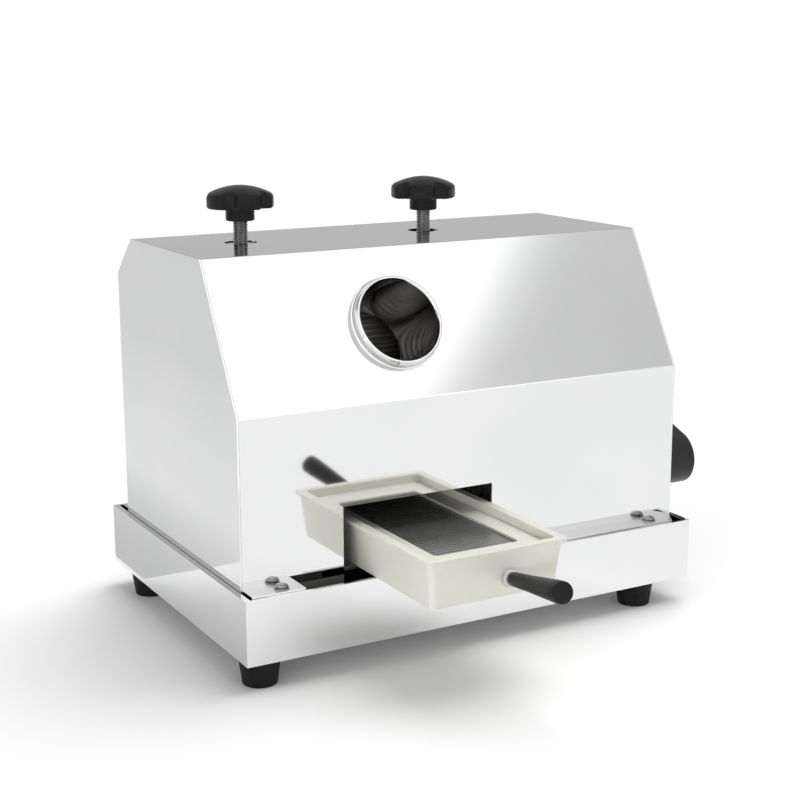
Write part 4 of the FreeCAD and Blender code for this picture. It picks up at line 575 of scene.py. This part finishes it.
def makeCasing():
    shape = tidied(joinSheets())
    joined = bpy.data.meshes.new("casingJoined")
    shape.to_mesh(joined)
    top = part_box("cover_hood")[1].z
    screws = [middle(f"{side}_pressure_screw") for side in ("left", "right")]
    places = placed("rodPlaces", pointsAt(
        "rodPlaces", [(screw.x, screw.y, top) for screw in screws]))
    punched = grow("casingPunched", holePlan(), {
        "Radius": casingStyle["rodHole"], "Deep": casingStyle["rodHoleDeep"],
        "Places": places}, joined)
    bpy.data.objects.remove(places)
    shape.clear()
    shape.from_mesh(punched)
    tidied(shape)
    # the front flange's right end is cut aslant, out to the corner of the casing
    panTop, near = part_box("base_pan")[1].z, casingStyle["near"]
    corner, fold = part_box("cover_front")[1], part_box("cover_hood")[0].y
    for vertex in shape.verts:
        if (abs(vertex.co.x - corner.x + casingStyle["flangeIn"]) < near / 4
                and abs(vertex.co.y - fold) < near and abs(vertex.co.z - panTop) < near):
            vertex.co.x = corner.x

    def isFold(edge):
        # the folds all run from side to side
        angle = math.degrees(edge.calc_face_angle(0.0))
        run = edge.verts[0].co - edge.verts[1].co
        return angle < casingStyle["mostBend"] and abs(run.x) > 0.9 * run.length

    # the folds get the press tool's radius, the cut edges only a deburring
    broken(shape, casingStyle["bend"], casingStyle["leastBend"], 4, isFold)
    broken(shape, casingStyle["cutEdge"], casingStyle["mostBend"], 1)
    bmesh.ops.bisect_plane(shape, geom=shape.verts[:] + shape.edges[:] + shape.faces[:],
                           plane_co=(0, 0, panTop), plane_no=(0, 0, 1))
    mesh = toMesh("casing", shape, 50)

    def shadeOf(centre, normal):
        # painted shade, darker and rougher, below the pan's top, a little less of it on the
        # flanges
        if centre.z < panTop:
            return 1.0
        onFlange = normal.z > 0.9 and centre.z < panTop + casingStyle["flangeHigh"]
        return casingStyle["flangeShade"] if onFlange else 0.0

    shadeFaces(mesh, shadeOf)
    keepFlatsFlat(seat("casing", mesh, casingSheets[0], others=casingSheets[1:]))


makeCasing()
print("casing made")


# pieces that only need their edges broken: node, edge width in mm
edgeWidths = {
    "cover_side_left": 0.3, "cover_side_right": 0.3, "bagasse_chute": 0.25,
    "left_side_plate": 0.5, "right_side_plate": 0.5, "gear_plate": 0.5,
    "bridges": 0.6, "left_bearing_block": 0.5, "right_bearing_block": 0.5,
    "keeper_plates": 0.3, "turner_plate": 0.4, "tray_runners": 0.3, "flange_brackets": 0.3,
    "crank_bearing_housing": 0.6, "front_shaft_collar": 0.5, "rear_shaft_collar": 0.5,
    "top_shaft_collar": 0.5, "front_shaft_nut": 0.6, "rear_shaft_nut": 0.6,
    "top_shaft_nut": 0.6, "frame_nuts": 0.5, "frame_bolts": 0.5, "bridge_bolts": 0.5,
    "turner_bolts": 0.4, "crank_bolt": 0.6, "foot_screws": 0.3, "crankshaft": 0.5,
    "grip_spindle": 0.4, "gear_plate_pillars": 0.5, "tie_bars": 0.5,
    "front_gear": 0.3, "rear_gear": 0.3, "top_gear": 0.3, "drive_wheel": 0.3,
    "crank_pinion": 0.3, "roller_bushes": 0.4, "block_bushes": 0.4, "crank_bushes": 0.4,
    "front_roller": 0.3, "rear_roller": 0.3, "top_roller": 0.3,
    "base_pan": 0.6, "juice_tray": 0.7, "filter_frame": 0.6, "rubber_feet": 1.0,
    "crank_arm": 1.6,
}
softFrom = 0.6  # edges this wide or wider are rounded in three steps, the others in two
panWall = 2.2 * mm  # the pan's sheet and its corner round


def pieceName(node):
    first, *rest = node.split("_")
    return first + "".join(word.capitalize() for word in rest)


def insidePan(centre, normal):
    # the pan's floor and the inner faces of its walls: painted shade there, and rougher, as no
    # polishing wheel reaches them
    low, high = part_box("base_pan")
    return float(low.x + panWall < centre.x < high.x - panWall
                 and low.y + panWall < centre.y < high.y - panWall
                 and low.z + panWall / 2 < centre.z < high.z - panWall / 2)


for node, width in edgeWidths.items():
    shape = broken(fresh(node), width * mm, steps=2 if width < softFrom else 3)
    mesh = toMesh(node, shape, 40)
    # the pan's inner faces get painted shade
    if node == "base_pan":
        shadeFaces(mesh, insidePan)
    keepFlatsFlat(seat(pieceName(node), mesh, node, ownFinish.get(node)))
print("edges broken:", len(edgeWidths))


# the feed inlet: radii and lengths along its axis in mm, from the slope outwards
feedStyle = {"bore": 33.0, "wall": 2.0, "ring": 38.0, "proud": 10.0, "reach": 60.0,
             "mountDepth": 26.0, "bead": 1.6, "waist": 1.4, "lipIn": 2.6, "flare": 1.8,
             "around": 128}


def makeFeedTube():
    mount = next(m for m in record["mounts"] if m["name"] == "feed_inlet")
    axis = Vector(mount["axis"])
    face = Vector(mount["pos_m"]) + axis * feedStyle["mountDepth"] * mm
    bore, ring, proud = feedStyle["bore"], feedStyle["ring"], feedStyle["proud"]
    inner, outer = -feedStyle["reach"], bore + feedStyle["wall"]
    bead, waist = feedStyle["bead"], feedStyle["waist"]
    # each corner is (along, radius) or (along, radius, rounding)
    profile = eased([
        (inner, bore), (inner, outer), (0.0, outer), (0.0, ring, 0.4), (bead, ring, 0.6),
        (bead + 0.6, ring - waist + 0.2, 0.5), (proud - 3.0, ring - waist, 1.6),
        (proud, ring - feedStyle["lipIn"], 1.2), (proud, bore + 1.0, 1.0),
        (proud - feedStyle["flare"], bore, 0.8), (inner, bore)])
    profile = [(along * mm, radius * mm) for along, radius in profile]
    shape = sealed(lathe(profile, face, axis, feedStyle["around"]))
    mesh = toMesh("feedTube", shape, 60)

    def shadeOf(centre, normal):
        # painted shade: 1 in the bore, a half on the ring's outer wall, nought on the lip
        out = centre - face
        radius = (out - axis * out.dot(axis)).length / mm
        if radius < bore + 0.3:
            return 1.0
        return 0.5 if radius > ring - 1.6 and abs(normal.dot(axis)) < 0.3 else 0.0

    shadeFaces(mesh, shadeOf)
    keepFlatsFlat(seat("feedTube", mesh, "feed_tube", boreSteel))


makeFeedTube()
print("feed inlet made")


# the star knobs: radii and heights in mm, turns in degrees
knobStyle = {"reach": 27.0, "lobes": 5, "hollow": 8.0, "hollowOut": 30.0, "softness": 2.2,
             "boss": 11.5, "bore": 6.1, "bossHeight": 10.0, "skirt": 12.0, "dome": 6.0,
             "rim": 2.6, "lowerRound": 2.2, "turned": {"left": 11.5, "right": -15.4},
             "around": 180, "roundSteps": 6,
             "underside": [(0.0, 9.0, 0.25), (0.3, 5.0, 0.6), (0.2, 2.4, 0.9)],
             "crown": (0.86, 0.72, 0.58, 0.44, 0.3, 0.15)}


def lobeRadius(turn):
    # distance from the axis to the knob's wall: a disc with round hollows, corners eased
    away = 2 * math.pi / knobStyle["lobes"]
    offset = (turn + away / 2) % away - away / 2
    out, hollow = knobStyle["hollowOut"], knobStyle["hollow"]
    inside = hollow ** 2 - (out * math.sin(offset)) ** 2
    wall = out * math.cos(offset) - math.sqrt(inside) if inside > 0 else out * 1.2
    reach, soft = knobStyle["reach"], knobStyle["softness"]
    blend = max(soft - abs(reach - wall), 0.0) / soft
    return min(reach, wall) - blend ** 2 * soft / 4


def makeKnob(side):
    node = f"{side}_star_knob"
    centre = middle(f"{side}_pressure_screw")
    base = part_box(node)[0].z
    boss, high, reach = knobStyle["boss"], knobStyle["bossHeight"], knobStyle["reach"]
    top, rim, low = high + knobStyle["skirt"], knobStyle["rim"], knobStyle["lowerRound"]
    # (height, inset from the lobes, share of the lobes left) up the outside of the knob;
    # the upper rings lie on one shallow dome that the lobes and the hollows cut off
    rings = [(high + rise, inset, share) for rise, inset, share in knobStyle["underside"]]
    quarter = [math.pi / 2 * step / knobStyle["roundSteps"]
               for step in range(knobStyle["roundSteps"] + 1)]
    rings += [(high + low * (1 - math.cos(swing)), low * (1 - math.sin(swing)), 1.0)
              for swing in quarter]
    rings += [(-rim * (1 - math.sin(swing)), rim * (1 - math.cos(swing)), 1.0)
              for swing in quarter]
    rings += [(0.0, None, share) for share in knobStyle["crown"]]
    count = knobStyle["around"]
    turned = math.radians(knobStyle["turned"][side])
    turns = [2 * math.pi * step / count for step in range(count)]
    shape = bmesh.new()

    def corner(turn, radius, level):
        return shape.verts.new((centre.x + math.cos(turn + turned) * radius * mm,
                                centre.y + math.sin(turn + turned) * radius * mm,
                                base + level * mm))

    # the round boss below starts the chain of rings
    loops = [[corner(turn, radius, height) for turn in turns] for height, radius in (
        (0.0, knobStyle["bore"]), (0.0, boss - 1.0), (0.3, boss - 0.3), (1.0, boss),
        (high - 1.5, boss), (high - 0.4, boss + 0.5))]
    neck = (reach - knobStyle["underside"][0][1]) * 0.72  # where the lobes run out below
    for height, inset, share in rings:
        loop = []
        for turn in turns:
            wall = lobeRadius(turn)
            if inset is None:
                radius = (wall - rim) * share
            else:
                radius = (wall - inset) * share + neck * (1 - share)
            level = height if height > 0.0 else (
                height + top + knobStyle["dome"] * (1 - (radius / (reach - rim)) ** 2))
            loop.append(corner(turn, radius, level))
        loops.append(loop)
    for lower, upper in zip(loops, loops[1:]):
        for step in range(count):
            after = (step + 1) % count
            shape.faces.new((lower[step], lower[after], upper[after], upper[step]))
    crown = shape.verts.new((centre.x, centre.y, base + (top + knobStyle["dome"]) * mm))
    floor = shape.verts.new((centre.x, centre.y, base))
    for step in range(count):
        after = (step + 1) % count
        shape.faces.new((loops[-1][step], loops[-1][after], crown))
        shape.faces.new((loops[0][after], loops[0][step], floor))
    bmesh.ops.recalc_face_normals(shape, faces=shape.faces)
    seat(pieceName(node), toMesh(node, shape, 60), node)


for side in ("left", "right"):
    makeKnob(side)
print("knobs made")


# the pressure screws: an M12 rod above a plain foot, in mm
rodStyle = {"radius": 6.0, "depth": 0.95, "pitch": 1.75, "ringsPerTurn": 8, "around": 40,
            "foot": 8.0, "footHeight": 7.0, "footRound": 0.5}


def threadPlan():
    # an upright threaded rod: the rings of a tube move in and out with the helix's phase
    plan = geometryTree("threadedRod", {
        "Radius": "Float", "Depth": "Float", "Pitch": "Float", "Length": "Float",
        "Rings": "Int"})
    tube = plan.add("GeometryNodeMeshCylinder", {"fill_type": "NGON"}, {
        "Vertices": rodStyle["around"], "Side Segments": given(plan, "Rings"),
        "Radius": given(plan, "Radius"), "Depth": given(plan, "Length")})
    place = plan.add("GeometryNodeInputPosition")
    split = plan.add("ShaderNodeSeparateXYZ", None, {0: place})
    x, y, z = (Signal(plan, split.socket.node.outputs[number]) for number in range(3))
    turn = x.maths("ARCTAN2", y, x) / (2 * math.pi)
    wound = z / given(plan, "Pitch") - turn
    flank = (wound.maths("FRACT", wound) * 2 - 1).size()
    share = 1 - flank * given(plan, "Depth") / given(plan, "Radius")
    moved = plan.add("ShaderNodeCombineXYZ", None, {0: x * share, 1: y * share, 2: z})
    shaped = plan.add("GeometryNodeSetPosition", None, {"Geometry": tube, "Position": moved})
    smooth = plan.add("GeometryNodeSetShadeSmooth", None, {
        "Geometry": shaped, "Shade Smooth": True})
    return close(plan, smooth, rodSteel)


rodPlan = threadPlan()


def makePressureScrew(side):
    node = f"{side}_pressure_screw"
    low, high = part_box(node)
    centre = middle(node)
    foot = rodStyle["footHeight"] * mm
    length = high.z - low.z - foot
    thread = grow(node, rodPlan, {
        "Radius": rodStyle["radius"] * mm, "Depth": rodStyle["depth"] * mm,
        "Pitch": rodStyle["pitch"] * mm, "Length": length,
        "Rings": round(length / mm / rodStyle["pitch"] * rodStyle["ringsPerTurn"])})
    thread.transform(Matrix.Translation((centre.x, centre.y, low.z + foot + length / 2)))
    shape = bmesh.new()
    shape.from_mesh(thread)
    disc, soft = rodStyle["foot"] * mm, rodStyle["footRound"] * mm
    lathe(eased([(0.0, 0.0), (0.0, disc, soft), (foot, disc, soft), (foot, 0.0)]),
          (centre.x, centre.y, low.z), (0, 0, 1), 48, shape)
    seat(pieceName(node), toMesh(node, shape, 40), node, rodSteel)


for side in ("left", "right"):
    makePressureScrew(side)
print("pressure screws made")


# the tray's handle: a corner of the grip is (share of its length, mm on, radius, rounding)
handleStyle = {"ferrule": 6.5, "groove": 5.5, "ridges": (1, 1, 0, 1, 0, 1, 0, 0),
               "grip": [(0.0, 0.0, 4.9, 0.3), (0.0, 1.2, 5.3, 0.6), (0.35, 0.0, 6.0, 20.0),
                        (1.0, -9.0, 8.0, 12.0), (1.0, -0.1, 7.9, 1.3), (1.0, 0.0, 5.6, 0.5),
                        (1.0, -0.5, 4.6, 0.4)]}


def handleLine():
    # the ferrule's and the grip's middles give the handle's own axis
    ferrule, grip = middle("handle_ferrule"), middle("tray_grip")
    return ferrule, (grip - ferrule).normalized()


def spanAlong(node, point, along):
    reaches = [(vertex.co - point).dot(along) for vertex in frame["nodes"][node].data.vertices]
    return min(reaches), max(reaches)


def makeHandle():
    point, along = handleLine()
    low, high = spanAlong("tray_grip", point, along)
    corners = [(low + share * (high - low) + on * mm, radius * mm, rounding * mm)
               for share, on, radius, rounding in handleStyle["grip"]]
    profile = eased([(low, 0.0), *corners, (corners[-1][0], 0.0)])
    seat("trayGrip", toMesh("trayGrip", lathe(profile, point, along, 64), 50), "tray_grip")
    start, stop = spanAlong("handle_ferrule", point, along)
    heights = (handleStyle["groove"] * mm, handleStyle["ferrule"] * mm)
    step = (stop - start) / len(handleStyle["ridges"])
    ridges = [(start, 0.0)]
    for number, proud in enumerate(handleStyle["ridges"]):
        ridges += [(start + (number + share) * step, heights[proud], 0.3 * mm)
                   for share in (0.0, 0.9)]
    ridges += [(stop, heights[0], 0.2 * mm), (stop, 0.0)]
    shape = lathe(eased(ridges, 2), point, along, 48)
    seat("handleFerrule", toMesh("handleFerrule", shape, 50), "handle_ferrule")


makeHandle()

# the crank's grip: radii and lengths in mm
crankGripStyle = {"neck": 11.5, "belly": 17.0, "bellyAt": 62.0, "nose": 12.0, "waist": 0.9,
                  "bore": 6.1, "recess": 8.8, "recessDepth": 5.3, "steps": 28, "around": 80}


def makeCrankGrip():
    low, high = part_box("crank_grip")
    centre = middle("crank_grip")
    long = (high.x - low.x) / mm
    s = crankGripStyle
    outer = []
    for step in range(1, s["steps"] + 1):
        at = long * step / s["steps"]
        if at < s["bellyAt"]:
            share = at / s["bellyAt"]
            swell = 3 * share ** 2 - 2 * share ** 3
            radius = (s["neck"] + (s["belly"] - s["neck"]) * swell
                      - s["waist"] * math.sin(math.pi * share))
        else:
            share = (at - s["bellyAt"]) / (long - s["bellyAt"])
            radius = s["nose"] + (s["belly"] - s["nose"]) * math.sqrt(1 - share ** 2)
        outer.append((at, radius))
    floor = long - s["recessDepth"]
    profile = [(0.0, s["bore"]), (0.0, s["neck"] - 0.8), *outer, (long, s["recess"] + 0.5),
               (long - 0.5, s["recess"]), (floor, s["recess"]), (floor, s["bore"]),
               (0.0, s["bore"])]
    profile = [(along * mm, radius * mm) for along, radius in profile]
    shape = sealed(lathe(profile, (low.x, centre.y, centre.z), (1, 0, 0), s["around"]))
    seat("crankGrip", toMesh("crankGrip", shape, 50), "crank_grip")


makeCrankGrip()
print("grips made")


# the filter screen, in mm; its bars are a little thinner than its border
screenStyle = {"pitch": 4.6, "bar": 3.8, "border": 3.0, "barShare": 0.9}


def screenPlan():
    # flat bars across a slotted screen, closed by a border
    plan = geometryTree("slottedScreen", {
        "Wide": "Float", "Long": "Float", "Thick": "Float", "Bar": "Float", "Bars": "Int",
        "Pitch": "Float", "Border": "Float"})
    wide, long, thick = given(plan, "Wide"), given(plan, "Long"), given(plan, "Thick")
    border = given(plan, "Border")

    def slab(x, y, z):
        size = plan.add("ShaderNodeCombineXYZ", None, {0: x, 1: y, 2: z})
        return plan.add("GeometryNodeMeshCube", None, {"Size": size})

    def row(piece, count, startX, startY, stepX, stepY):
        start = plan.add("ShaderNodeCombineXYZ", None, {0: startX, 1: startY})
        step = plan.add("ShaderNodeCombineXYZ", None, {0: stepX, 1: stepY})
        line = plan.add("GeometryNodeMeshLine", None, {
            "Count": count, "Start Location": start, "Offset": step})
        return plan.add("GeometryNodeInstanceOnPoints", None, {
            "Points": line, "Instance": piece})

    pitch, bars = given(plan, "Pitch"), given(plan, "Bars")
    parts = [
        row(slab(wide - border, given(plan, "Bar"), thick * screenStyle["barShare"]), bars,
            0.0, (bars - 1) * pitch * -0.5, 0.0, pitch),
        row(slab(border, long, thick), 2, (wide - border) * -0.5, 0.0, wide - border, 0.0),
        row(slab(wide - border * 2, border, thick), 2,
            0.0, (long - border) * -0.5, 0.0, long - border)]
    joined = plan.tree.nodes.new("GeometryNodeJoinGeometry")
    for part in parts:
        plan.tree.links.new(part.socket, joined.inputs[0])
    return close(plan, Signal(plan, joined.outputs[0]), finishes["screen_steel"])


def makeScreen():
    low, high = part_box("filter_screen")
    size = (high - low) / mm
    s = screenStyle
    mesh = grow("filterScreen", screenPlan(), {
        "Wide": size.x * mm, "Long": size.y * mm, "Thick": size.z * mm, "Bar": s["bar"] * mm,
        "Bars": int((size.y - s["border"]) / s["pitch"]), "Pitch": s["pitch"] * mm,
        "Border": s["border"] * mm})
    mesh.transform(Matrix.Translation((low + high) / 2))
    seat("filterScreen", mesh, "filter_screen")


makeScreen()
print("screen made")


# the flange screws, in mm: pan heads are balls flattened and sunk into their washers
screwStyle = {"head": 5.0, "rise": 2.9, "flattened": 0.44, "sunk": 0.3, "washer": 5.9,
              "washerThick": 0.9, "shank": 2.5, "shankLong": 10.0, "slot": 1.5,
              "slotLong": 6.4, "slotDeep": 2.0, "around": 32, "seed": 7}


def screwPlan():
    # pan heads on washers, the cross recesses turned at random as hand driving leaves them
    plan = geometryTree("panHeadScrews", {
        "Head": "Float", "Rise": "Float", "Washer": "Float", "Washer Thick": "Float",
        "Shank": "Float", "Shank Long": "Float", "Slot": "Float", "Slot Long": "Float",
        "Slot Deep": "Float", "Seed": "Int"})

    def moved(piece, height, scale=(1.0, 1.0, 1.0)):
        shift = plan.add("ShaderNodeCombineXYZ", None, {2: height})
        return plan.add("GeometryNodeTransform", None, {
            "Geometry": piece, "Translation": shift, "Scale": scale})

    def drum(radius, depth, height):
        piece = plan.add("GeometryNodeMeshCylinder", {"fill_type": "NGON"}, {
            "Vertices": screwStyle["around"], "Radius": radius, "Depth": depth})
        return moved(piece, height)

    head, rise = given(plan, "Head"), given(plan, "Rise")
    thick, shank = given(plan, "Washer Thick"), given(plan, "Shank Long")
    ball = plan.add("GeometryNodeMeshUVSphere", None, {
        "Segments": screwStyle["around"], "Rings": screwStyle["around"] // 2,
        "Radius": head})
    ball = moved(ball, thick + rise * screwStyle["sunk"], (1.0, 1.0, screwStyle["flattened"]))
    drive = rise + thick  # the level of the slots' middles
    slots = plan.tree.nodes.new("GeometryNodeJoinGeometry")
    for long, wide in (("Slot Long", "Slot"), ("Slot", "Slot Long")):
        size = plan.add("ShaderNodeCombineXYZ", None, {
            0: given(plan, long), 1: given(plan, wide), 2: given(plan, "Slot Deep") * 2})
        cutter = moved(plan.add("GeometryNodeMeshCube", None, {"Size": size}), drive)
        plan.tree.links.new(cutter.socket, slots.inputs[0])
    recessed = plan.add("GeometryNodeMeshBoolean", {"operation": "DIFFERENCE"}, {
        "Mesh 1": ball, "Mesh 2": Signal(plan, slots.outputs[0])})
    screw = plan.tree.nodes.new("GeometryNodeJoinGeometry")
    for part in (recessed, drum(given(plan, "Washer"), thick, thick / 2),
                 drum(given(plan, "Shank"), shank, shank * -0.5)):
        plan.tree.links.new(part.socket, screw.inputs[0])
    turn = plan.add("FunctionNodeRandomValue", {"data_type": "FLOAT_VECTOR"}, {
        0: (0.0, 0.0, 0.0), 1: (0.0, 0.0, math.pi), 8: given(plan, "Seed")})
    placed = plan.add("GeometryNodeInstanceOnPoints", None, {
        "Points": given(plan, "Geometry"), "Instance": Signal(plan, screw.outputs[0]),
        "Rotation": turn})
    return close(plan, placed, zincSteel)


def makeFlangeScrews():
    low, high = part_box("cover_screws")
    s = screwStyle
    edge = s["head"] * mm
    seatLevel = low.z + s["shankLong"] * mm
    spots = pointsAt("screwSpots", [
        (x, y, seatLevel) for x in (low.x + edge, high.x - edge)
        for y in (low.y + edge, high.y - edge)])
    mesh = grow("coverScrews", screwPlan(), {
        "Head": edge, "Rise": s["rise"] * mm, "Washer": s["washer"] * mm,
        "Washer Thick": s["washerThick"] * mm, "Shank": s["shank"] * mm,
        "Shank Long": s["shankLong"] * mm, "Slot": s["slot"] * mm,
        "Slot Long": s["slotLong"] * mm, "Slot Deep": s["slotDeep"] * mm,
        "Seed": s["seed"]}, spots)
    shape = bmesh.new()
    shape.from_mesh(mesh)
    seat("coverScrews", toMesh("coverScrews", shape, 40), "cover_screws", zincSteel)


makeFlangeScrews()
print("flange screws made")


# every CAD node that still shows gets its finish
for node, body in frame["nodes"].items():
    if not body.hide_render:
        body.data.materials.clear()
        body.data.materials.append(finishes[slotOf[node]])


# the studio: angles in degrees, lengths in metres, brightness with white at 1
studio = {
    "floorSize": 80.0, "floorTone": 0.94, "sky": 0.49, "seen": 1.1,
    "sunPower": 2.06, "sunSpread": 48.0, "sunFrom": 66.0, "sunHeight": 66.0,
    "front": 1.28, "aside": 0.69, "back": 0.52,
    "edgeFrom": 42.0, "edgeTo": 54.0, "edgeTilt": 2.6, "edgeLevel": 39.5, "edgeMost": 7.0,
    "edgeFade": [(0.0, 1.0), (0.12, 0.97), (0.27, 0.78), (0.43, 0.66), (0.6, 0.58)],
    "fillPower": 22.0, "fillPlace": (-2.3, -1.6, 0.36), "fillAim": (0.0, 0.0, 0.12),
    "fillWide": 1.6, "fillHigh": 0.4,
    "cardFrom": (-3.2, 0.22), "cardTo": (-0.29, 4.0), "cardHigh": 0.0015, "cardSpan": 1.5,
    "cardTones": [(0.2, 0.62), (0.23, 0.70), (0.273, 0.90), (0.367, 0.84), (0.467, 0.77),
                  (1.0, 0.75)],
}
cameraStyle = {"place": (-0.69415, -1.0403, 0.4603), "down": 12.70, "aside": 29.34,
               "roll": -0.2, "lens": 70.4, "sensor": 36.0, "near": 0.05, "far": 60.0}


def makeFloor():
    half = studio["floorSize"] / 2
    mesh = bpy.data.meshes.new("studioFloor")
    mesh.from_pydata([(-half, -half, 0), (half, -half, 0), (half, half, 0), (-half, half, 0)],
                     [], [(0, 1, 2, 3)])
    floor = placed("studioFloor", mesh)
    paper = Finish("studioPaper", Roughness=0.9, Specular_IOR_Level=0.1)
    cloud = paper.cloud(scale=3.0, detail=2.0)
    tone = studio["floorTone"]
    paper.feed(Base_Color=paper.ramp(cloud, [(0.3, tone - 0.01), (0.7, tone + 0.01)]))
    mesh.materials.append(paper.material)


def makeSky():
    # white to the eye, softer on the floor; polished steel sees a bright front with a grey
    # side past a slanting edge, and a grey back
    world = bpy.data.worlds.new("studioSky")
    bpy.context.scene.world = world
    world.use_nodes = True
    sky = Graph(world.node_tree)
    path = sky.add("ShaderNodeLightPath")
    glossy = Signal(sky, path.socket.node.outputs["Is Glossy Ray"])
    seen = Signal(sky, path.socket.node.outputs["Is Camera Ray"])
    coords = sky.add("ShaderNodeTexCoord")
    split = sky.add("ShaderNodeSeparateXYZ", None, {0: coords})
    x, y, z = (Signal(sky, split.socket.node.outputs[number]) for number in range(3))
    aside = x.maths("ARCTAN2", x, 0 - y) * math.degrees(1)  # from -Y towards +X
    rise = z.maths("ARCSINE", z) * math.degrees(1)
    most = studio["edgeMost"]
    lean = ((rise - studio["edgeLevel"]) * studio["edgeTilt"]).least(-most).most(most)
    width = studio["edgeTo"] - studio["edgeFrom"]
    fade = [*studio["edgeFade"], (1.0, studio["aside"] / studio["front"])]
    front = sky.ramp((aside - lean - studio["edgeFrom"]) / width, fade) * studio["front"]
    behind = y.over(0)
    polished = behind * studio["back"] + (1 - behind) * front
    matt = seen * studio["seen"] + (1 - seen) * studio["sky"]
    tone = polished * glossy + (1 - glossy) * matt
    background = sky.add("ShaderNodeBackground", None, {
        "Color": rgb(1.0, 1.0, 1.0), "Strength": tone})
    output = sky.tree.nodes.new("ShaderNodeOutputWorld")
    sky.tree.links.new(background.socket, output.inputs[0])


def makeSun():
    # a very wide sun from behind and the right: soft shadows towards the front and the left
    light = bpy.data.lights.new("softSun", "SUN")
    light.energy = studio["sunPower"]
    light.angle = math.radians(studio["sunSpread"])
    lamp = placed("softSun", light)
    height, aside = math.radians(studio["sunHeight"]), math.radians(studio["sunFrom"])
    towards = Vector((math.sin(aside) * math.cos(height), math.cos(aside) * math.cos(height),
                      math.sin(height)))
    lamp.rotation_euler = towards.to_track_quat("Z", "Y").to_euler()
    lamp.visible_glossy = False
    lamp.visible_camera = False


def makeCard():
    # a glowing grey card on the floor at the left, which only polished steel sees: a painted
    # reflection of a darker floor there
    (lowX, lowY), (highX, highY) = studio["cardFrom"], studio["cardTo"]
    high = studio["cardHigh"]
    mesh = bpy.data.meshes.new("greyCard")
    mesh.from_pydata([(lowX, lowY, high), (highX, lowY, high), (highX, highY, high),
                      (lowX, highY, high)], [], [(0, 1, 2, 3)])
    card = placed("greyCard", mesh)
    glow = Finish("cardGlow", Base_Color=rgb(0.0, 0.0, 0.0), Specular_IOR_Level=0.0)
    split = glow.add("ShaderNodeSeparateXYZ", None, {0: glow.coords})
    away = Signal(glow, split.socket.node.outputs[0]) / -studio["cardSpan"]
    glow.feed(Emission_Color=glow.ramp(away, studio["cardTones"]))
    glow.shader.inputs["Emission Strength"].default_value = 1.0
    mesh.materials.append(glow.material)
    for kind in ("camera", "diffuse", "transmission", "volume_scatter", "shadow"):
        setattr(card, "visible_" + kind, False)


def makeFill():
    # a low soft box that only matt surfaces see
    light = bpy.data.lights.new("lowFill", "AREA")
    light.shape = "RECTANGLE"
    light.size, light.size_y = studio["fillWide"], studio["fillHigh"]
    light.energy = studio["fillPower"]
    lamp = placed("lowFill", light)
    place = Vector(studio["fillPlace"])
    lamp.location = place
    lamp.rotation_euler = (place - Vector(studio["fillAim"])).to_track_quat("Z", "Y").to_euler()
    lamp.visible_glossy = False
    lamp.visible_camera = False


def makeCamera():
    camera = placed("camera", bpy.data.cameras.new("camera"))
    camera.data.lens = cameraStyle["lens"]
    camera.data.sensor_width = cameraStyle["sensor"]
    camera.data.clip_start = cameraStyle["near"]
    camera.data.clip_end = cameraStyle["far"]
    down, aside = math.radians(cameraStyle["down"]), math.radians(cameraStyle["aside"])
    camera.matrix_world = (
        Matrix.Translation(cameraStyle["place"]) @ Matrix.Rotation(-aside, 4, "Z")
        @ Matrix.Rotation(math.pi / 2 - down, 4, "X")
        @ Matrix.Rotation(math.radians(cameraStyle["roll"]), 4, "Z"))
    bpy.context.scene.camera = camera


makeFloor()
makeSky()
makeSun()
makeFill()
makeCard()
makeCamera()
bpy.context.scene.view_settings.view_transform = "Standard"
print("studio made")
